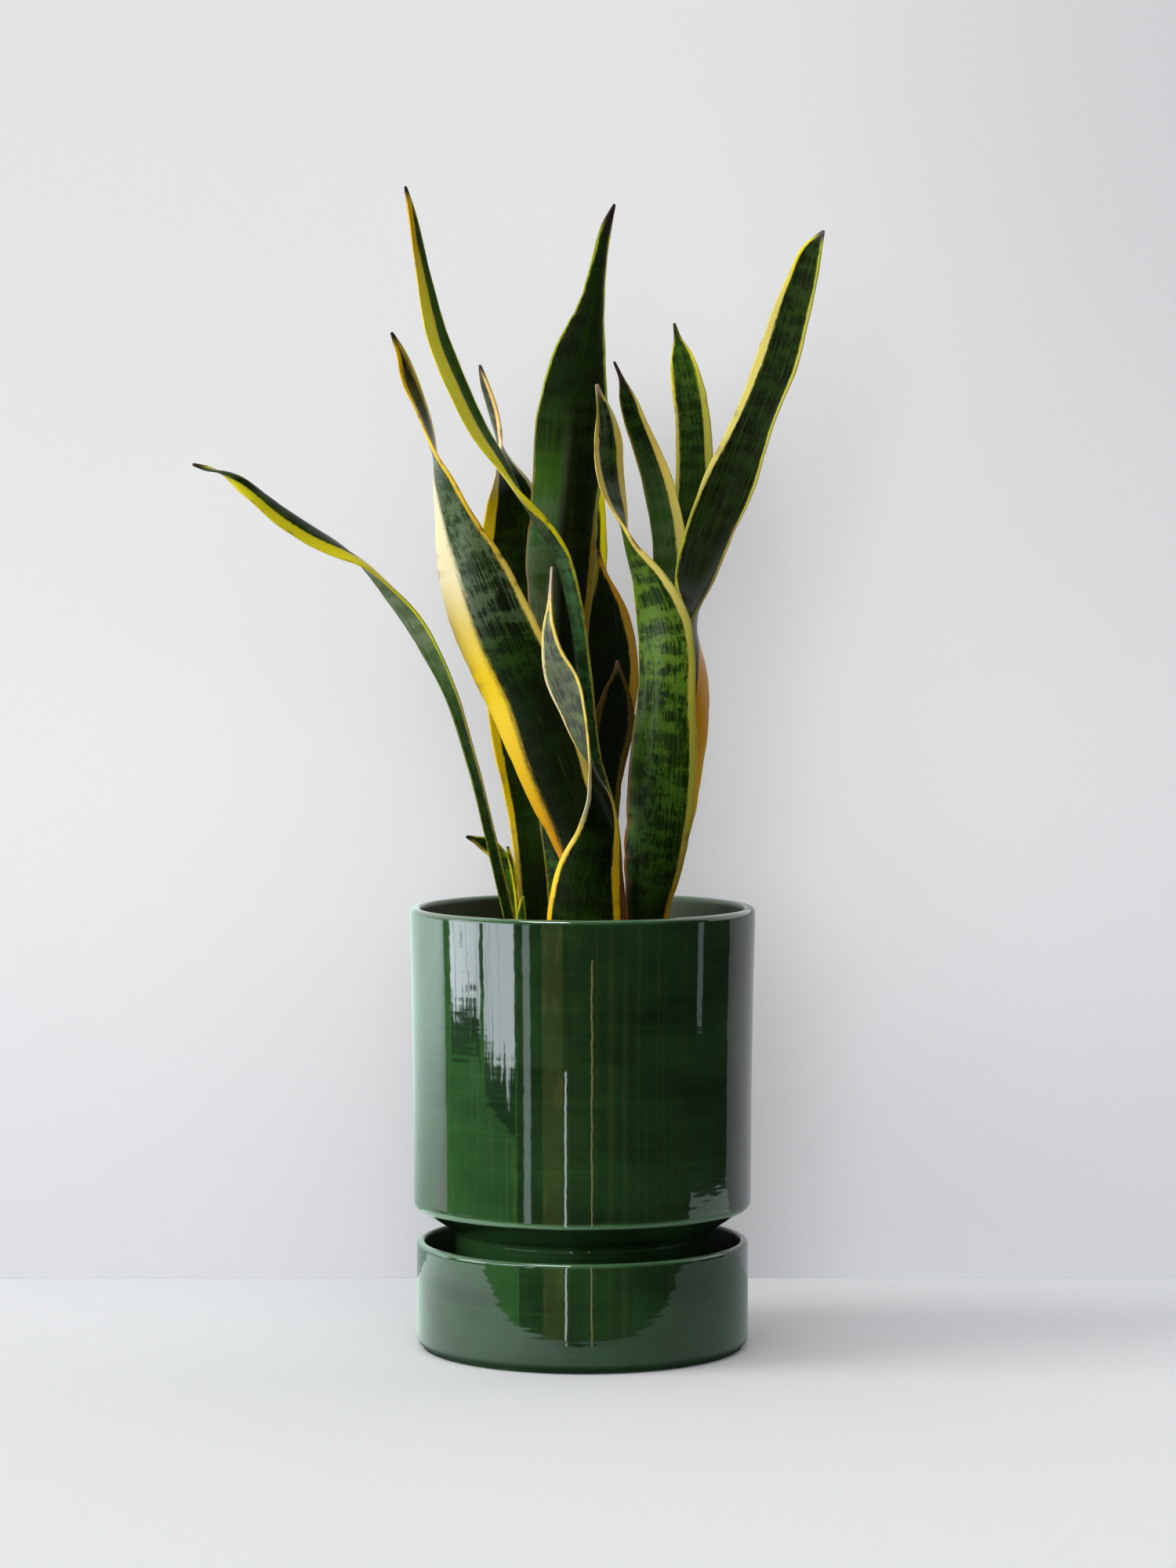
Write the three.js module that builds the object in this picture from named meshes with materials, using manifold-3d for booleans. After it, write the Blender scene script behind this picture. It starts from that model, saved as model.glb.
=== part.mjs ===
// A potted laurentii snake plant: thirteen long leaves with yellow margins, a young side shoot,
// soil, a glazed cylinder pot with a narrower foot, and the deep saucer that it stands in.
// Millimetres, +Z up. The origin is the centre of the saucer's underside; -Y faces the viewer.

import * as THREE from 'three';
import Module from 'manifold-3d';
import { mergeVertices } from 'three/addons/utils/BufferGeometryUtils.js';

const wasm = await Module();
wasm.setup();

// Clearance between pieces that touch on the real plant
const GAP = 0.3;

// Saucer: a low straight-walled dish
const SAUCER = { radius: 86.3, foot: 83.2, wall: 4.2, height: 55.8, floor: 7 };

// Pot: a straight cylinder on a short cone and a narrow foot that stands in the saucer
const POT = {
  rimRadius: 89.7,
  bodyRadius: 87.7,
  wall: 5.7,
  height: 229.4,
  bodyBottom: 75.8,
  neckRadius: 66.5,
  neckTop: 60,
  floor: 6,
  drainRadius: 6,
};

// Soil: its surface lies well below the rim and rises a little towards the leaves
const SOIL = { edgeHeight: 203.5, mound: 3 };

// Round pieces are turned in this many steps
const TURNED_SEGMENTS = 48;

// Leaves: the foot stands in a slot in the soil, at this height
const FOOT = 189;
const BLADE = {
  // thickness at the margins, and in the middle at the foot and at the tip
  edge: 1.0,
  footThickness: 4.4,
  upperThickness: 2.2,
  // width of the blunt tip
  tip: 1.3,
  // a blade narrower than this swings less
  fullSwingWidth: 20,
  // how far the waves of one margin run ahead of the middle's, in radians
  marginLead: 1.5,
  // longest step between two sections
  ringStep: 13,
  // sections that reach from the foot to above the soil
  sectionsInSoil: 4,
};
const ACROSS = [-1, -0.5, 0, 0.5, 1];

const LEAF_GREEN = 0x26401a;
const PUP_GREEN = 0x4c6e2c;
const DRY_BROWN = 0x8a6a48;
const GLAZE_GREEN = 0x12402a;
const SOIL_BROWN = 0x2c2119;

// Each leaf is a row of stations from its foot to its tip. A station holds the place of the blade's
// middle (across, depth, height), the blade's width, its turn about its own line in degrees, and
// how far its middle is pushed away from the side that faces the viewer when the turn is 0.
// wave is how far the margins swing out of the blade, and waves is how often they do.
const LEAVES = {
  leaf_far_left: {
    wave: 0.2,
    waves: 3,
    stations: [
      [-29, -20, FOOT, 6, 0, 1],
      [-37.8, -20, 226, 6.2, -4, 1],
      [-48.4, -22, 272, 6, -10, 1],
      [-58.2, -24, 311, 6.4, -20, 1.1],
      [-67.6, -27, 341, 8, -26, 1.4],
      [-75.4, -29, 358, 10.2, -31, 1.7],
      [-87, -32, 378.5, 13, -42, 2.2],
      [-98.5, -34, 392, 13.8, -61, 2.2],
      [-113, -37, 406.5, 13, -88, 1.8],
      [-123, -38, 413, 13, -117, 1.4],
      [-136.5, -40, 420.5, 13.2, -135, 1.2],
      [-153, -43, 431.5, 12.2, -139, 1],
      [-171, -46, 446, 8.2, -158, 0.6],
      [-182, -48, 453.5, 4, -250, 0.3],
      [-190, -50, 455.5, 3.2, -318, 0.2],
      [-197, -52, 457.5, BLADE.tip, -330, 0],
    ],
  },
  leaf_broad_left: {
    wave: 1.1,
    waves: 4,
    stations: [
      [11.5, -16, FOOT, 15, 0, -3.5],
      [8, -18, 227, 17, -4, -3.5],
      [0, -20, 266, 25, -8, -4],
      [-11.5, -23, 299, 32, -12, -4],
      [-28.5, -27, 341, 44, -14, -4],
      [-41.4, -30, 367, 45.6, -17, -4],
      [-56.5, -35, 405, 38.5, -27, -3.5],
      [-66, -39, 434, 31, -49, -2.5],
      [-70.5, -42, 452, 27, -67, -2],
      [-74, -44, 465, 21, -92, -1.5],
      [-81, -47, 485, 14, -121, -1],
      [-87.5, -49, 501, 10.8, -137, -0.8],
      [-91.7, -51, 514, 5.4, -143, -0.4],
      [-96.3, -53, 524, BLADE.tip, -148, 0],
    ],
  },
  leaf_tall_left: {
    wave: 0.3,
    waves: 4,
    stations: [
      [19.5, -7, FOOT, 8.5, -10, -2],
      [18, -9, 226, 9, -30, -2],
      [14, -11, 278, 9.6, -39, -2],
      [5.5, -14, 311, 10, -43, -2],
      [1, -17, 351, 11, -48, -2],
      [-3.5, -21, 384, 12.5, -51, -2],
      [-12.5, -26, 416, 14, -56, -2],
      [-21.5, -28, 430, 15, -67, -2],
      [-30, -31, 442, 15.6, -88, -1.8],
      [-40, -34, 457, 16, -112, -1.8],
      [-52, -37, 474, 16, -124, -1.8],
      [-63, -41, 497, 16, -129, -1.8],
      [-72.5, -45, 520, 15.4, -133, -1.5],
      [-81, -50, 558, 9, -136, -0.8],
      [-86.5, -54, 587, 4, -138, -0.3],
      [-89, -55, 597, BLADE.tip, -139, 0],
    ],
  },
  leaf_back_left: {
    wave: 0.6,
    waves: 4,
    stations: [
      [-22.4, 2, FOOT, 16, 0, 3],
      [-24, 2, 226, 17.6, 0, 3],
      [-28.8, 2, 277, 20, 0, 3],
      [-33, 3, 304, 23, 0, 3],
      [-35.5, 6, 342, 31, 2, 3],
      [-36.5, 9, 382, 36, 6, 3],
      [-35.8, 11, 415, 35.5, 13, 2.5],
      [-36.5, 13, 445, 28, 36, 2],
      [-39.7, 13, 458, 22, 63, 1.6],
      [-42, 13, 469, 16.5, 88, 1.2],
      [-47, 12, 489, 10, 118, 0.7],
      [-51.2, 12, 502, 6.4, 128, 0.4],
      [-53.3, 11, 510.5, BLADE.tip, 132, 0],
    ],
  },
  leaf_tall_middle: {
    wave: 0.5,
    waves: 4,
    stations: [
      [-7.3, -8, FOOT, 14, 0, -3],
      [-8.7, -7, 226, 17, 0, -3],
      [-11, -5, 285, 24, 0, -3.5],
      [-11.8, -3, 334, 28, 2, -4],
      [-11.8, -1, 375, 31.5, 5, -4],
      [-11, 2, 415, 37, 8, -4.5],
      [-8, 5, 450, 36.5, 9, -4.5],
      [-5, 9, 485, 38, 10, -4],
      [-1, 13, 517, 27, 12, -2.6],
      [4.7, 16, 541, 15, 14, -1.4],
      [9, 20, 566, 8.6, 18, -0.7],
      [12.9, 23, 584, 5.4, 20, -0.3],
      [16.8, 25, 594.5, BLADE.tip, 20, 0],
    ],
  },
  leaf_front_short: {
    wave: 0.5,
    waves: 3,
    stations: [
      [0.3, -34, FOOT, 29, 0, -4],
      [0.5, -36, 227, 37.6, 0, -4.5],
      [3.8, -38, 253, 31.5, 10, -4],
      [7.5, -40, 269, 25.4, 25, -3.4],
      [8, -42, 285, 24, 53, -2.5],
      [4, -44, 301, 23.5, 82, -2],
      [-0.5, -46, 316, 22.5, 109, -1.8],
      [-4.5, -47.5, 331, 22.5, 128, -1.8],
      [-10.5, -50, 349, 21.8, 140, -1.6],
      [-14.5, -52, 360, 14.6, 141, -1],
      [-17, -54, 375.5, 7.4, 141, -0.5],
      [-16.5, -55, 385.5, 3.4, 140, -0.2],
      [-15.3, -58, 406, BLADE.tip, 140, 0],
    ],
  },
  leaf_front_right: {
    wave: 0.7,
    waves: 4,
    stations: [
      [34, -20, FOOT, 16, 0, -3],
      [33.2, -22, 227, 22.6, -2, -3.5],
      [36.7, -24, 254, 30.6, -4, -4],
      [40.7, -27, 294.5, 35.6, -8, -4.5],
      [42.7, -31, 335, 31.5, -15, -4],
      [42, -35, 375, 30.8, -28, -3.5],
      [34.8, -38, 397.5, 27, -49, -2.8],
      [25.6, -40, 416, 23.5, -73, -2.2],
      [22, -41, 428, 22, -94, -2],
      [17.5, -42, 440, 20, -121, -1.8],
      [14.2, -44, 454, 19.4, -140, -1.8],
      [13, -46, 471, 17.8, -146, -1.5],
      [11, -47, 484.5, 8.8, -147, -0.7],
      [8.9, -48, 491.5, 4.4, -147, -0.3],
      [7.3, -49, 498, 1.6, -147, 0],
    ],
  },
  leaf_long_right: {
    wave: 0.4,
    waves: 4,
    stations: [
      [34.5, -3, FOOT, 15, 0, -2.8],
      [36.6, -3, 226, 16.5, 5, -2.8],
      [48, -3, 277, 20.5, 15, -3],
      [54.8, -3, 334, 25, 26, -2.8],
      [55.2, -3, 358, 27, 53, -2.4],
      [55.8, -3, 375, 28, 85, -2.2],
      [56.8, -2, 394, 28.5, 128, -2.8],
      [63.5, 0, 418, 29, 144, -3.6],
      [76, 4, 449, 29.8, 151, -3.6],
      [87.8, 8, 479, 26, 148, -2.8],
      [101.2, 12, 513, 25, 149, -2.4],
      [109, 15, 539, 22, 150, -2],
      [114, 17, 554, 18.2, 151, -1.4],
      [119.5, 19, 570.5, 11.4, 152, -0.8],
      [125.7, 21, 580.5, BLADE.tip, 152, 0],
    ],
  },
  leaf_back_right: {
    wave: 0.4,
    waves: 4,
    stations: [
      [33.6, 12, FOOT, 16, 0, 2.8],
      [34.4, 13, 225, 17, 0, 2.8],
      [43.7, 17, 292, 18.4, 0, 2.8],
      [47.6, 22, 354, 19, 0, 2.8],
      [46.2, 27, 410, 19, 3, 2.5],
      [43.8, 29, 431, 17.5, 5, 2],
      [39.3, 31, 450, 16, 8, 1.6],
      [32.3, 34, 470, 13.8, 12, 1.3],
      [27.2, 36, 483, 12.2, 14, 1],
      [23.7, 38, 494, 9.4, 16, 0.7],
      [20.6, 40, 504, 3, 18, 0.3],
      [16.5, 42, 513.5, BLADE.tip, 20, 0],
    ],
  },
  leaf_rear_right: {
    wave: 0.3,
    waves: 3,
    stations: [
      [34.6, 26, FOOT, 16, 0, 2.8],
      [35.6, 27, 223, 16.6, 0, 2.8],
      [45, 33, 291, 17.5, 0, 2.8],
      [49.5, 40, 353, 18.2, 0, 2.8],
      [55.5, 48, 415, 19.6, 0, 2.6],
      [59, 53, 450, 20, -5, 2.4],
      [58, 58, 484.5, 19, -8, 2.2],
      [56, 61, 501, 17.4, -10, 1.6],
      [52.5, 64, 517.5, 12, -14, 1],
      [50.4, 66, 527, 4, -16, 0.3],
      [48.7, 67, 535, BLADE.tip, -16, 0],
    ],
  },
  leaf_behind_middle: {
    wave: 0.5,
    waves: 3,
    stations: [
      [7.8, 16, FOOT, 17, 0, 2.8],
      [7.6, 16, 224, 18, 0, 2.8],
      [9.6, 19, 292, 20, 0, 2.6],
      [13.8, 21, 327, 26, 0, 2.5],
      [14.6, 23, 353.5, 30, 0, 2.5],
      [13.4, 25, 374, 25.4, 0, 2],
      [11.5, 26, 390.5, 15.8, 0, 1.2],
      [9.9, 27, 401, 7.4, 0, 0.5],
      [8.2, 28, 415, BLADE.tip, 0, 0],
    ],
  },
  leaf_small_middle: {
    wave: 0.4,
    waves: 2,
    stations: [
      [6.4, 4, FOOT, 13, 0, 2.4],
      [6.4, 4, 225, 15, 0, 2.5],
      [10, 6, 270, 16, 0, 2.5],
      [13.3, 8, 305, 19.2, 0, 2.5],
      [16.6, 9, 327, 21.6, 0, 2],
      [17.8, 10, 341, 13.6, 0, 1.2],
      [18.4, 10, 350, 5.6, 0, 0.5],
      [18, 11, 357, BLADE.tip, 0, 0],
    ],
  },
  leaf_hidden_back: {
    wave: 0.3,
    waves: 2,
    stations: [
      [-1.6, 29, FOOT, 17, 0, 2.6],
      [-1.3, 30, 223, 18, 0, 2.6],
      [-1.5, 34, 280, 19, 0, 2.5],
      [-1, 38, 332, 20.6, 0, 2.5],
      [1.9, 43, 390, 21, 0, 2],
      [3.3, 45, 415, 19, 0, 1.6],
      [5.2, 47, 436, 14.4, 0, 1],
      [7, 49, 448, 8, 0, 0.5],
      [8.7, 50, 462.5, BLADE.tip, 0, 0],
    ],
  },
};

// The young shoot beside the far left leaf, its small sheath, and a dry sheath between two leaves
const SIDE_SHOOT = {
  pup_leaf_outer: {
    wave: 0,
    waves: 1,
    stations: [
      [-35, -8, FOOT, 6.4, 0, 1.2],
      [-36.8, -8, 226, 6.4, 0, 1.2],
      [-38.8, -8.3, 244, 7, -10, 1.2],
      [-43, -10, 256, 9.4, -24, 1.2],
      [-49.5, -12, 262.5, 9.4, -30, 1],
      [-55, -15, 265, 4.6, -30, 0.5],
      [-60, -18, 267, BLADE.tip, -30, 0],
    ],
  },
  pup_leaf_inner: {
    wave: 0,
    waves: 1,
    stations: [
      [-35.4, -3.2, FOOT, 5.7, 0, 1],
      [-36, -3.2, 225, 5.7, 0, 1],
      [-36.5, -3.2, 244, 5, 0, 0.8],
      [-37.5, -3.2, 254, 3.4, 0, 0.5],
      [-38.8, -3.2, 261, BLADE.tip, 0, 0],
    ],
  },
  pup_sheath: {
    wave: 0,
    waves: 1,
    stations: [
      [-32.5, -13.5, FOOT, 4.6, 0, -0.8],
      [-31.8, -13.5, 213, 5.2, 0, -1],
      [-31.6, -13.2, 226, 5.2, 0, -0.8],
      [-31.2, -13, 231, 3.6, 0, -0.4],
      [-30.7, -12.5, 236, BLADE.tip, 0, 0],
    ],
  },
};

const DRY_SHEATH = {
  wave: 0.3,
  waves: 3,
  stations: [
    [21.4, -28, FOOT, 4, 0, -0.4],
    [20.9, -28, 215, 4, 0, -0.4],
    [20.4, -28, 235, 3.6, 4, -0.4],
    [19.6, -28.5, 248, 2.6, 8, -0.2],
    [19, -29, 257.5, BLADE.tip, 10, 0],
  ],
};

// Slope of a smooth line through three neighbouring values at uneven distances
function slopeAt(values, lengths, i) {
  const last = values.length - 1;
  const before = Math.max(i - 1, 0);
  const after = Math.min(i + 1, last);
  if (before === i || after === i) {
    return (values[after] - values[before]) / (lengths[after] - lengths[before]);
  }
  const left = (values[i] - values[before]) / (lengths[i] - lengths[before]);
  const right = (values[after] - values[i]) / (lengths[after] - lengths[i]);
  const leftSpan = lengths[i] - lengths[before];
  const rightSpan = lengths[after] - lengths[i];
  return (left * rightSpan + right * leftSpan) / (leftSpan + rightSpan);
}

// Value and slope at the share t of the way from station i to station i + 1
function smoothValue(values, lengths, i, t) {
  const span = lengths[i + 1] - lengths[i];
  const m0 = slopeAt(values, lengths, i) * span;
  const m1 = slopeAt(values, lengths, i + 1) * span;
  const a = values[i];
  const b = values[i + 1];
  const t2 = t * t;
  const t3 = t2 * t;
  const value = (2 * t3 - 3 * t2 + 1) * a + (t3 - 2 * t2 + t) * m0 + (3 * t2 - 2 * t3) * b + (t3 - t2) * m1;
  const slope = (6 * t2 - 6 * t) * (a - b) + (3 * t2 - 4 * t + 1) * m0 + (3 * t2 - 2 * t) * m1;
  return [value, slope / span];
}

// Where the blade's sections lie: several between each pair of stations
function sectionPlaces(stations) {
  const lengths = [0];
  for (let i = 1; i < stations.length; i += 1) {
    const [ax, ay, az] = stations[i - 1];
    const [bx, by, bz] = stations[i];
    lengths.push(lengths[i - 1] + Math.hypot(bx - ax, by - ay, bz - az));
  }
  const places = [];
  for (let i = 0; i < stations.length - 1; i += 1) {
    const steps = Math.max(2, Math.ceil((lengths[i + 1] - lengths[i]) / BLADE.ringStep));
    for (let k = 0; k < steps; k += 1) {
      places.push([i, k / steps]);
    }
  }
  places.push([stations.length - 2, 1]);
  return { lengths, places };
}

// One section of a blade: the points of its front face, then those of its back face
function sectionAt(leaf, lengths, i, t, grow) {
  const channel = (k) => smoothValue(leaf.stations.map((row) => row[k]), lengths, i, t);
  const [x, dx] = channel(0);
  const [y, dy] = channel(1);
  const [z, dz] = channel(2);
  const width = Math.max(channel(3)[0], BLADE.tip);
  const turn = THREE.MathUtils.degToRad(channel(4)[0]);
  const hollow = channel(5)[0];
  const along = new THREE.Vector3(dx, dy, dz).normalize();
  const level = new THREE.Vector3(0, 1, 0).cross(along).normalize();
  const depth = new THREE.Vector3().crossVectors(along, level);
  const across = level.clone().multiplyScalar(Math.cos(turn)).addScaledVector(depth, Math.sin(turn));
  const face = new THREE.Vector3().crossVectors(across, along).normalize();
  const total = lengths[lengths.length - 1];
  const share = (lengths[i] + t * (lengths[i + 1] - lengths[i])) / total;
  const thick = BLADE.upperThickness + (BLADE.footThickness - BLADE.upperThickness) * (1 - share) ** 2;
  // a narrow blade is thinner, so that it stays a blade up to its tip
  const middle = Math.min(thick, 0.5 + 0.3 * width);
  const edge = Math.min(BLADE.edge, 0.2 + 0.5 * width);
  const swing = leaf.wave * Math.min(1, width / BLADE.fullSwingWidth);
  const front = [];
  const back = [];
  for (const v of ACROSS) {
    const half = 0.5 * (edge + (middle - edge) * (1 - v * v)) + grow;
    const wave = swing * v * v * Math.sin(2 * Math.PI * leaf.waves * share + BLADE.marginLead * v);
    const lift = wave - hollow * (1 - v * v);
    const point = new THREE.Vector3(x, y, z).addScaledVector(across, v * (0.5 * width + grow));
    point.addScaledVector(face, lift);
    front.push(point.clone().addScaledVector(face, half));
    back.push(point.clone().addScaledVector(face, -half));
  }
  return [...front, ...back];
}

// A closed blade through its sections, split into triangles alike on its front and back
function bladeGeometry(leaf, { grow = 0, sections = Infinity } = {}) {
  const { lengths, places } = sectionPlaces(leaf.stations);
  const rings = places.slice(0, sections).map(([i, t]) => sectionAt(leaf, lengths, i, t, grow));
  if (grow > 0) {
    rings[0].forEach((point) => point.setZ(point.z - grow));
  }
  const n = ACROSS.length;
  const ringSize = 2 * n;
  const positions = rings.flat().flatMap((p) => [p.x, p.y, p.z]);
  const faces = [];
  for (let r = 0; r < rings.length - 1; r += 1) {
    const a = r * ringSize;
    const b = a + ringSize;
    for (let k = 0; k < n - 1; k += 1) {
      faces.push(a + k, a + k + 1, b + k + 1, a + k, b + k + 1, b + k);
      faces.push(a + n + k, b + n + k + 1, a + n + k + 1, a + n + k, b + n + k, b + n + k + 1);
    }
    faces.push(a, b, b + n, a, b + n, a + n);
    faces.push(a + n - 1, b + 2 * n - 1, b + n - 1, a + n - 1, a + 2 * n - 1, b + 2 * n - 1);
  }
  const top = (rings.length - 1) * ringSize;
  for (let k = 0; k < n - 1; k += 1) {
    faces.push(k, n + k, n + k + 1, k, n + k + 1, k + 1);
    faces.push(top + k, top + n + k + 1, top + n + k, top + k, top + k + 1, top + n + k + 1);
  }
  const geometry = new THREE.BufferGeometry();
  geometry.setAttribute('position', new THREE.Float32BufferAttribute(positions, 3));
  geometry.setIndex(faces);
  return geometry;
}

// A turned piece about the Z axis from (radius, height) points
function turned(points) {
  const profile = points.map(([r, z]) => new THREE.Vector2(r, z));
  return new THREE.LatheGeometry(profile, TURNED_SEGMENTS).rotateX(Math.PI / 2);
}

function merged(geometry) {
  const bare = geometry.clone();
  bare.deleteAttribute('normal');
  bare.deleteAttribute('uv');
  return mergeVertices(bare, 1e-3);
}

function toSolid(geometry) {
  const bare = merged(geometry);
  return new wasm.Manifold(new wasm.Mesh({
    numProp: 3,
    vertProperties: Float32Array.from(bare.attributes.position.array),
    triVerts: Uint32Array.from(bare.index.array),
  }));
}

function toGeometry(solid) {
  const mesh = solid.getMesh();
  const geometry = new THREE.BufferGeometry();
  geometry.setAttribute('position', new THREE.Float32BufferAttribute(mesh.vertProperties, 3));
  geometry.setIndex(Array.from(mesh.triVerts));
  return geometry;
}

function saucerGeometry() {
  const { radius, foot, wall, height, floor } = SAUCER;
  const inner = radius - wall;
  return turned([
    [0, 0],
    [foot, 0],
    [foot + 0.4, 1.4],
    [foot + 1.4, 1.8],
    [radius - 0.3, 4.2],
    [radius, 8],
    [radius, height - 5],
    [radius - 0.3, height - 2.2],
    [radius - 1.1, height - 0.5],
    [radius - 2.1, height],
    [radius - 3.2, height - 0.6],
    [inner + 0.2, height - 2.4],
    [inner, height - 6],
    [inner - 0.2, floor + 7],
    [inner - 1.6, floor + 2.6],
    [inner - 5, floor + 0.3],
    [inner - 12, floor],
    [0, floor],
  ]);
}

// The pot's inside from the drain hole to just under the rim
function potInside() {
  const bottom = SAUCER.floor + GAP + POT.floor;
  const inner = POT.bodyRadius - POT.wall;
  const neckInner = POT.neckRadius - POT.wall;
  return [
    [POT.drainRadius, bottom],
    [neckInner - 3, bottom + 0.5],
    [neckInner, bottom + 3],
    [neckInner, POT.neckTop + 0.5],
    [neckInner + 1.6, POT.neckTop + 3.8],
    [neckInner + 7, POT.neckTop + 7],
    [inner - 1, POT.bodyBottom - 0.2],
    [inner, POT.bodyBottom + 3.5],
    [POT.rimRadius - POT.wall - 0.3, POT.height - 7],
  ];
}

function potGeometry() {
  const { rimRadius, bodyRadius, wall, height, bodyBottom, neckRadius, neckTop, drainRadius } = POT;
  const bottom = SAUCER.floor + GAP;
  const outside = [
    [drainRadius, bottom],
    [neckRadius - 2, bottom],
    [neckRadius, bottom + 2],
    [neckRadius, neckTop - 2.5],
    [neckRadius + 1.4, neckTop + 0.3],
    [neckRadius + 4.4, neckTop + 2],
    [bodyRadius - 3.1, bodyBottom - 6],
    [bodyRadius - 0.8, bodyBottom - 3.4],
    [bodyRadius, bodyBottom],
    [bodyRadius + 0.4, 140],
    [bodyRadius + 1.2, 190],
    [rimRadius, height - 6],
    [rimRadius - 0.3, height - 2.8],
    [rimRadius - 1.2, height - 0.8],
    [rimRadius - 2.7, height],
    [rimRadius - 4.5, height - 0.7],
    [rimRadius - wall, height - 2.8],
  ];
  return turned([...outside, ...potInside().reverse(), outside[0]]);
}

// The soil fills the pot below its surface, with a slot for the foot of each leaf
function soilGeometry(shoots) {
  const { edgeHeight, mound } = SOIL;
  const lining = potInside().slice(1, -1).map(([r, z]) => [r - GAP, z + GAP]);
  const edge = POT.bodyRadius - POT.wall + 0.9;
  let solid = toSolid(turned([
    [0, lining[0][1]],
    ...lining,
    [edge, edgeHeight],
    [0.8 * edge, edgeHeight + 0.4 * mound],
    [0.5 * edge, edgeHeight + 0.8 * mound],
    [0.2 * edge, edgeHeight + mound],
    [0, edgeHeight + mound],
  ]));
  for (const shoot of shoots) {
    solid = solid.subtract(toSolid(bladeGeometry(shoot, { grow: GAP, sections: BLADE.sectionsInSoil })));
  }
  return toGeometry(solid);
}

function piece(name, geometry, color, roughness) {
  const material = new THREE.MeshStandardMaterial({ color, roughness, metalness: 0 });
  const mesh = new THREE.Mesh(geometry, material);
  mesh.name = name;
  return mesh;
}

const plant = new THREE.Group();
for (const [name, leaf] of Object.entries(LEAVES)) {
  plant.add(piece(name, bladeGeometry(leaf), LEAF_GREEN, 0.45));
}
for (const [name, leaf] of Object.entries(SIDE_SHOOT)) {
  plant.add(piece(name, bladeGeometry(leaf), PUP_GREEN, 0.45));
}
plant.add(piece('dry_sheath', bladeGeometry(DRY_SHEATH), DRY_BROWN, 0.9));

const shoots = [...Object.values(LEAVES), ...Object.values(SIDE_SHOOT), DRY_SHEATH];
const part = new THREE.Group();
part.add(piece('saucer', saucerGeometry(), GLAZE_GREEN, 0.12));
part.add(piece('pot', potGeometry(), GLAZE_GREEN, 0.12));
part.add(piece('soil', soilGeometry(shoots), SOIL_BROWN, 0.95));
part.add(plant);

export default part;
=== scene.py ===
# A potted laurentii snake plant in a glazed green pot and its deep saucer, on a pale floor.
# Metres, +Z up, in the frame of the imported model. Leaf stations and profiles are in millimetres.

import math
import random

import bpy
import numpy as np
from mathutils import Euler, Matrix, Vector, noise


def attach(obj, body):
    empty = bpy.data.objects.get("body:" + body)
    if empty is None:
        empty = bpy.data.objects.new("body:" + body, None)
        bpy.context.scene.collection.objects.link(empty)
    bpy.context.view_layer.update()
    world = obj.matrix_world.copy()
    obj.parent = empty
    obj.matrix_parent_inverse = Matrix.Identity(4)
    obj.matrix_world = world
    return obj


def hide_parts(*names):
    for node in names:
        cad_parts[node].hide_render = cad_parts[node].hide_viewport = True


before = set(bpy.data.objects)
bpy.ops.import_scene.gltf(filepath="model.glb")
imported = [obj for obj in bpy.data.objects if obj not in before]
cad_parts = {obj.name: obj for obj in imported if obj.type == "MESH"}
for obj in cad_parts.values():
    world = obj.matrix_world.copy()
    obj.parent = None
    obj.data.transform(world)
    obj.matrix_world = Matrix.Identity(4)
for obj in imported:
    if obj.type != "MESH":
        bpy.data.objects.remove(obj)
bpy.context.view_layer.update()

MM = 0.001
ROOT = "root"

# Pot and saucer, as in the part's source
SAUCER = {"radius": 86.3, "foot": 83.2, "wall": 4.2, "height": 55.8, "floor": 7}
POT = {
    "rim": 89.7,
    "body": 87.7,
    "wall": 5.7,
    "height": 229.4,
    "body_bottom": 75.8,
    "neck": 66.5,
    "neck_top": 60,
    "floor": 6,
    "drain": 6,
}
SOIL = {"edge": 203.5, "mound": 3}
# The pot is a little wider at the soil's edge than at the foot of its body
SOIL_RADIUS = POT["body"] - POT["wall"] + 0.7
GAP = 0.3

# Leaf blade, as in the part's source
FOOT = 189
BLADE = {
    "edge": 1.0,
    "foot_thickness": 4.4,
    "upper_thickness": 2.2,
    "tip": 1.3,
    "least_middle": 0.5,
    "middle_by_width": 0.3,
    "least_edge": 0.2,
    "edge_by_width": 0.5,
    "full_swing_width": 20,
    "margin_lead": 1.5,
}
# The visible blade: squares across it, the length of one along it, and the fewest along it
ACROSS = 16
STEP = 2.8
LEAST_ROWS = 8
# Nicks in a margin, in millimetres, over a part of the leaf's length, and its slow unevenness
NICK = {
    "per_metre": 26,
    "along": (0.05, 0.92),
    "length": (0.9, 2.4),
    "depth": (0.15, 0.7),
    "deepest": 0.9,
    "full_width": 12,
    "worn": (0.1, 0.5),
}
UNEVEN = {"lengths": (61, 34, 19, 11), "share": 0.0045, "full_width": 20}
# A fold along a leaf: where it starts, and the painted highlight along its ridge between two heights
FOLD = {
    "rise": 1.3,
    "roundness": 0.003,
    "starts": (0.1, 0.3),
    "full_width": 38,
    "painted_highlight_width": 0.05,
    "painted_highlight_from": (340, 380),
    "painted_highlight_to": (500, 450),
    "painted_highlight_strength": 0.45,
}
# How soft a margin's inner edge is at the left and right, and the fully dry share of a dry tip
SOFTNESS = (0.8, 0.8)
FULLY_DRIED = 0.35
# Every leaf has its own random numbers, and its own place in the noise, as each of its faces has
LEAF_SEED = 100
LEAF_APART = 40.0
FACE_APART = 5.0

# Steps of a turned piece, of the soil and from its edge to its middle, and the soil's lumps, each
# with its height in metres and its fineness
TURNS = 128
SOIL_RINGS = 48
SOIL_TURNS = 200
SOIL_LUMPS = ((0.0016, 55), (0.0009, 170))
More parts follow.
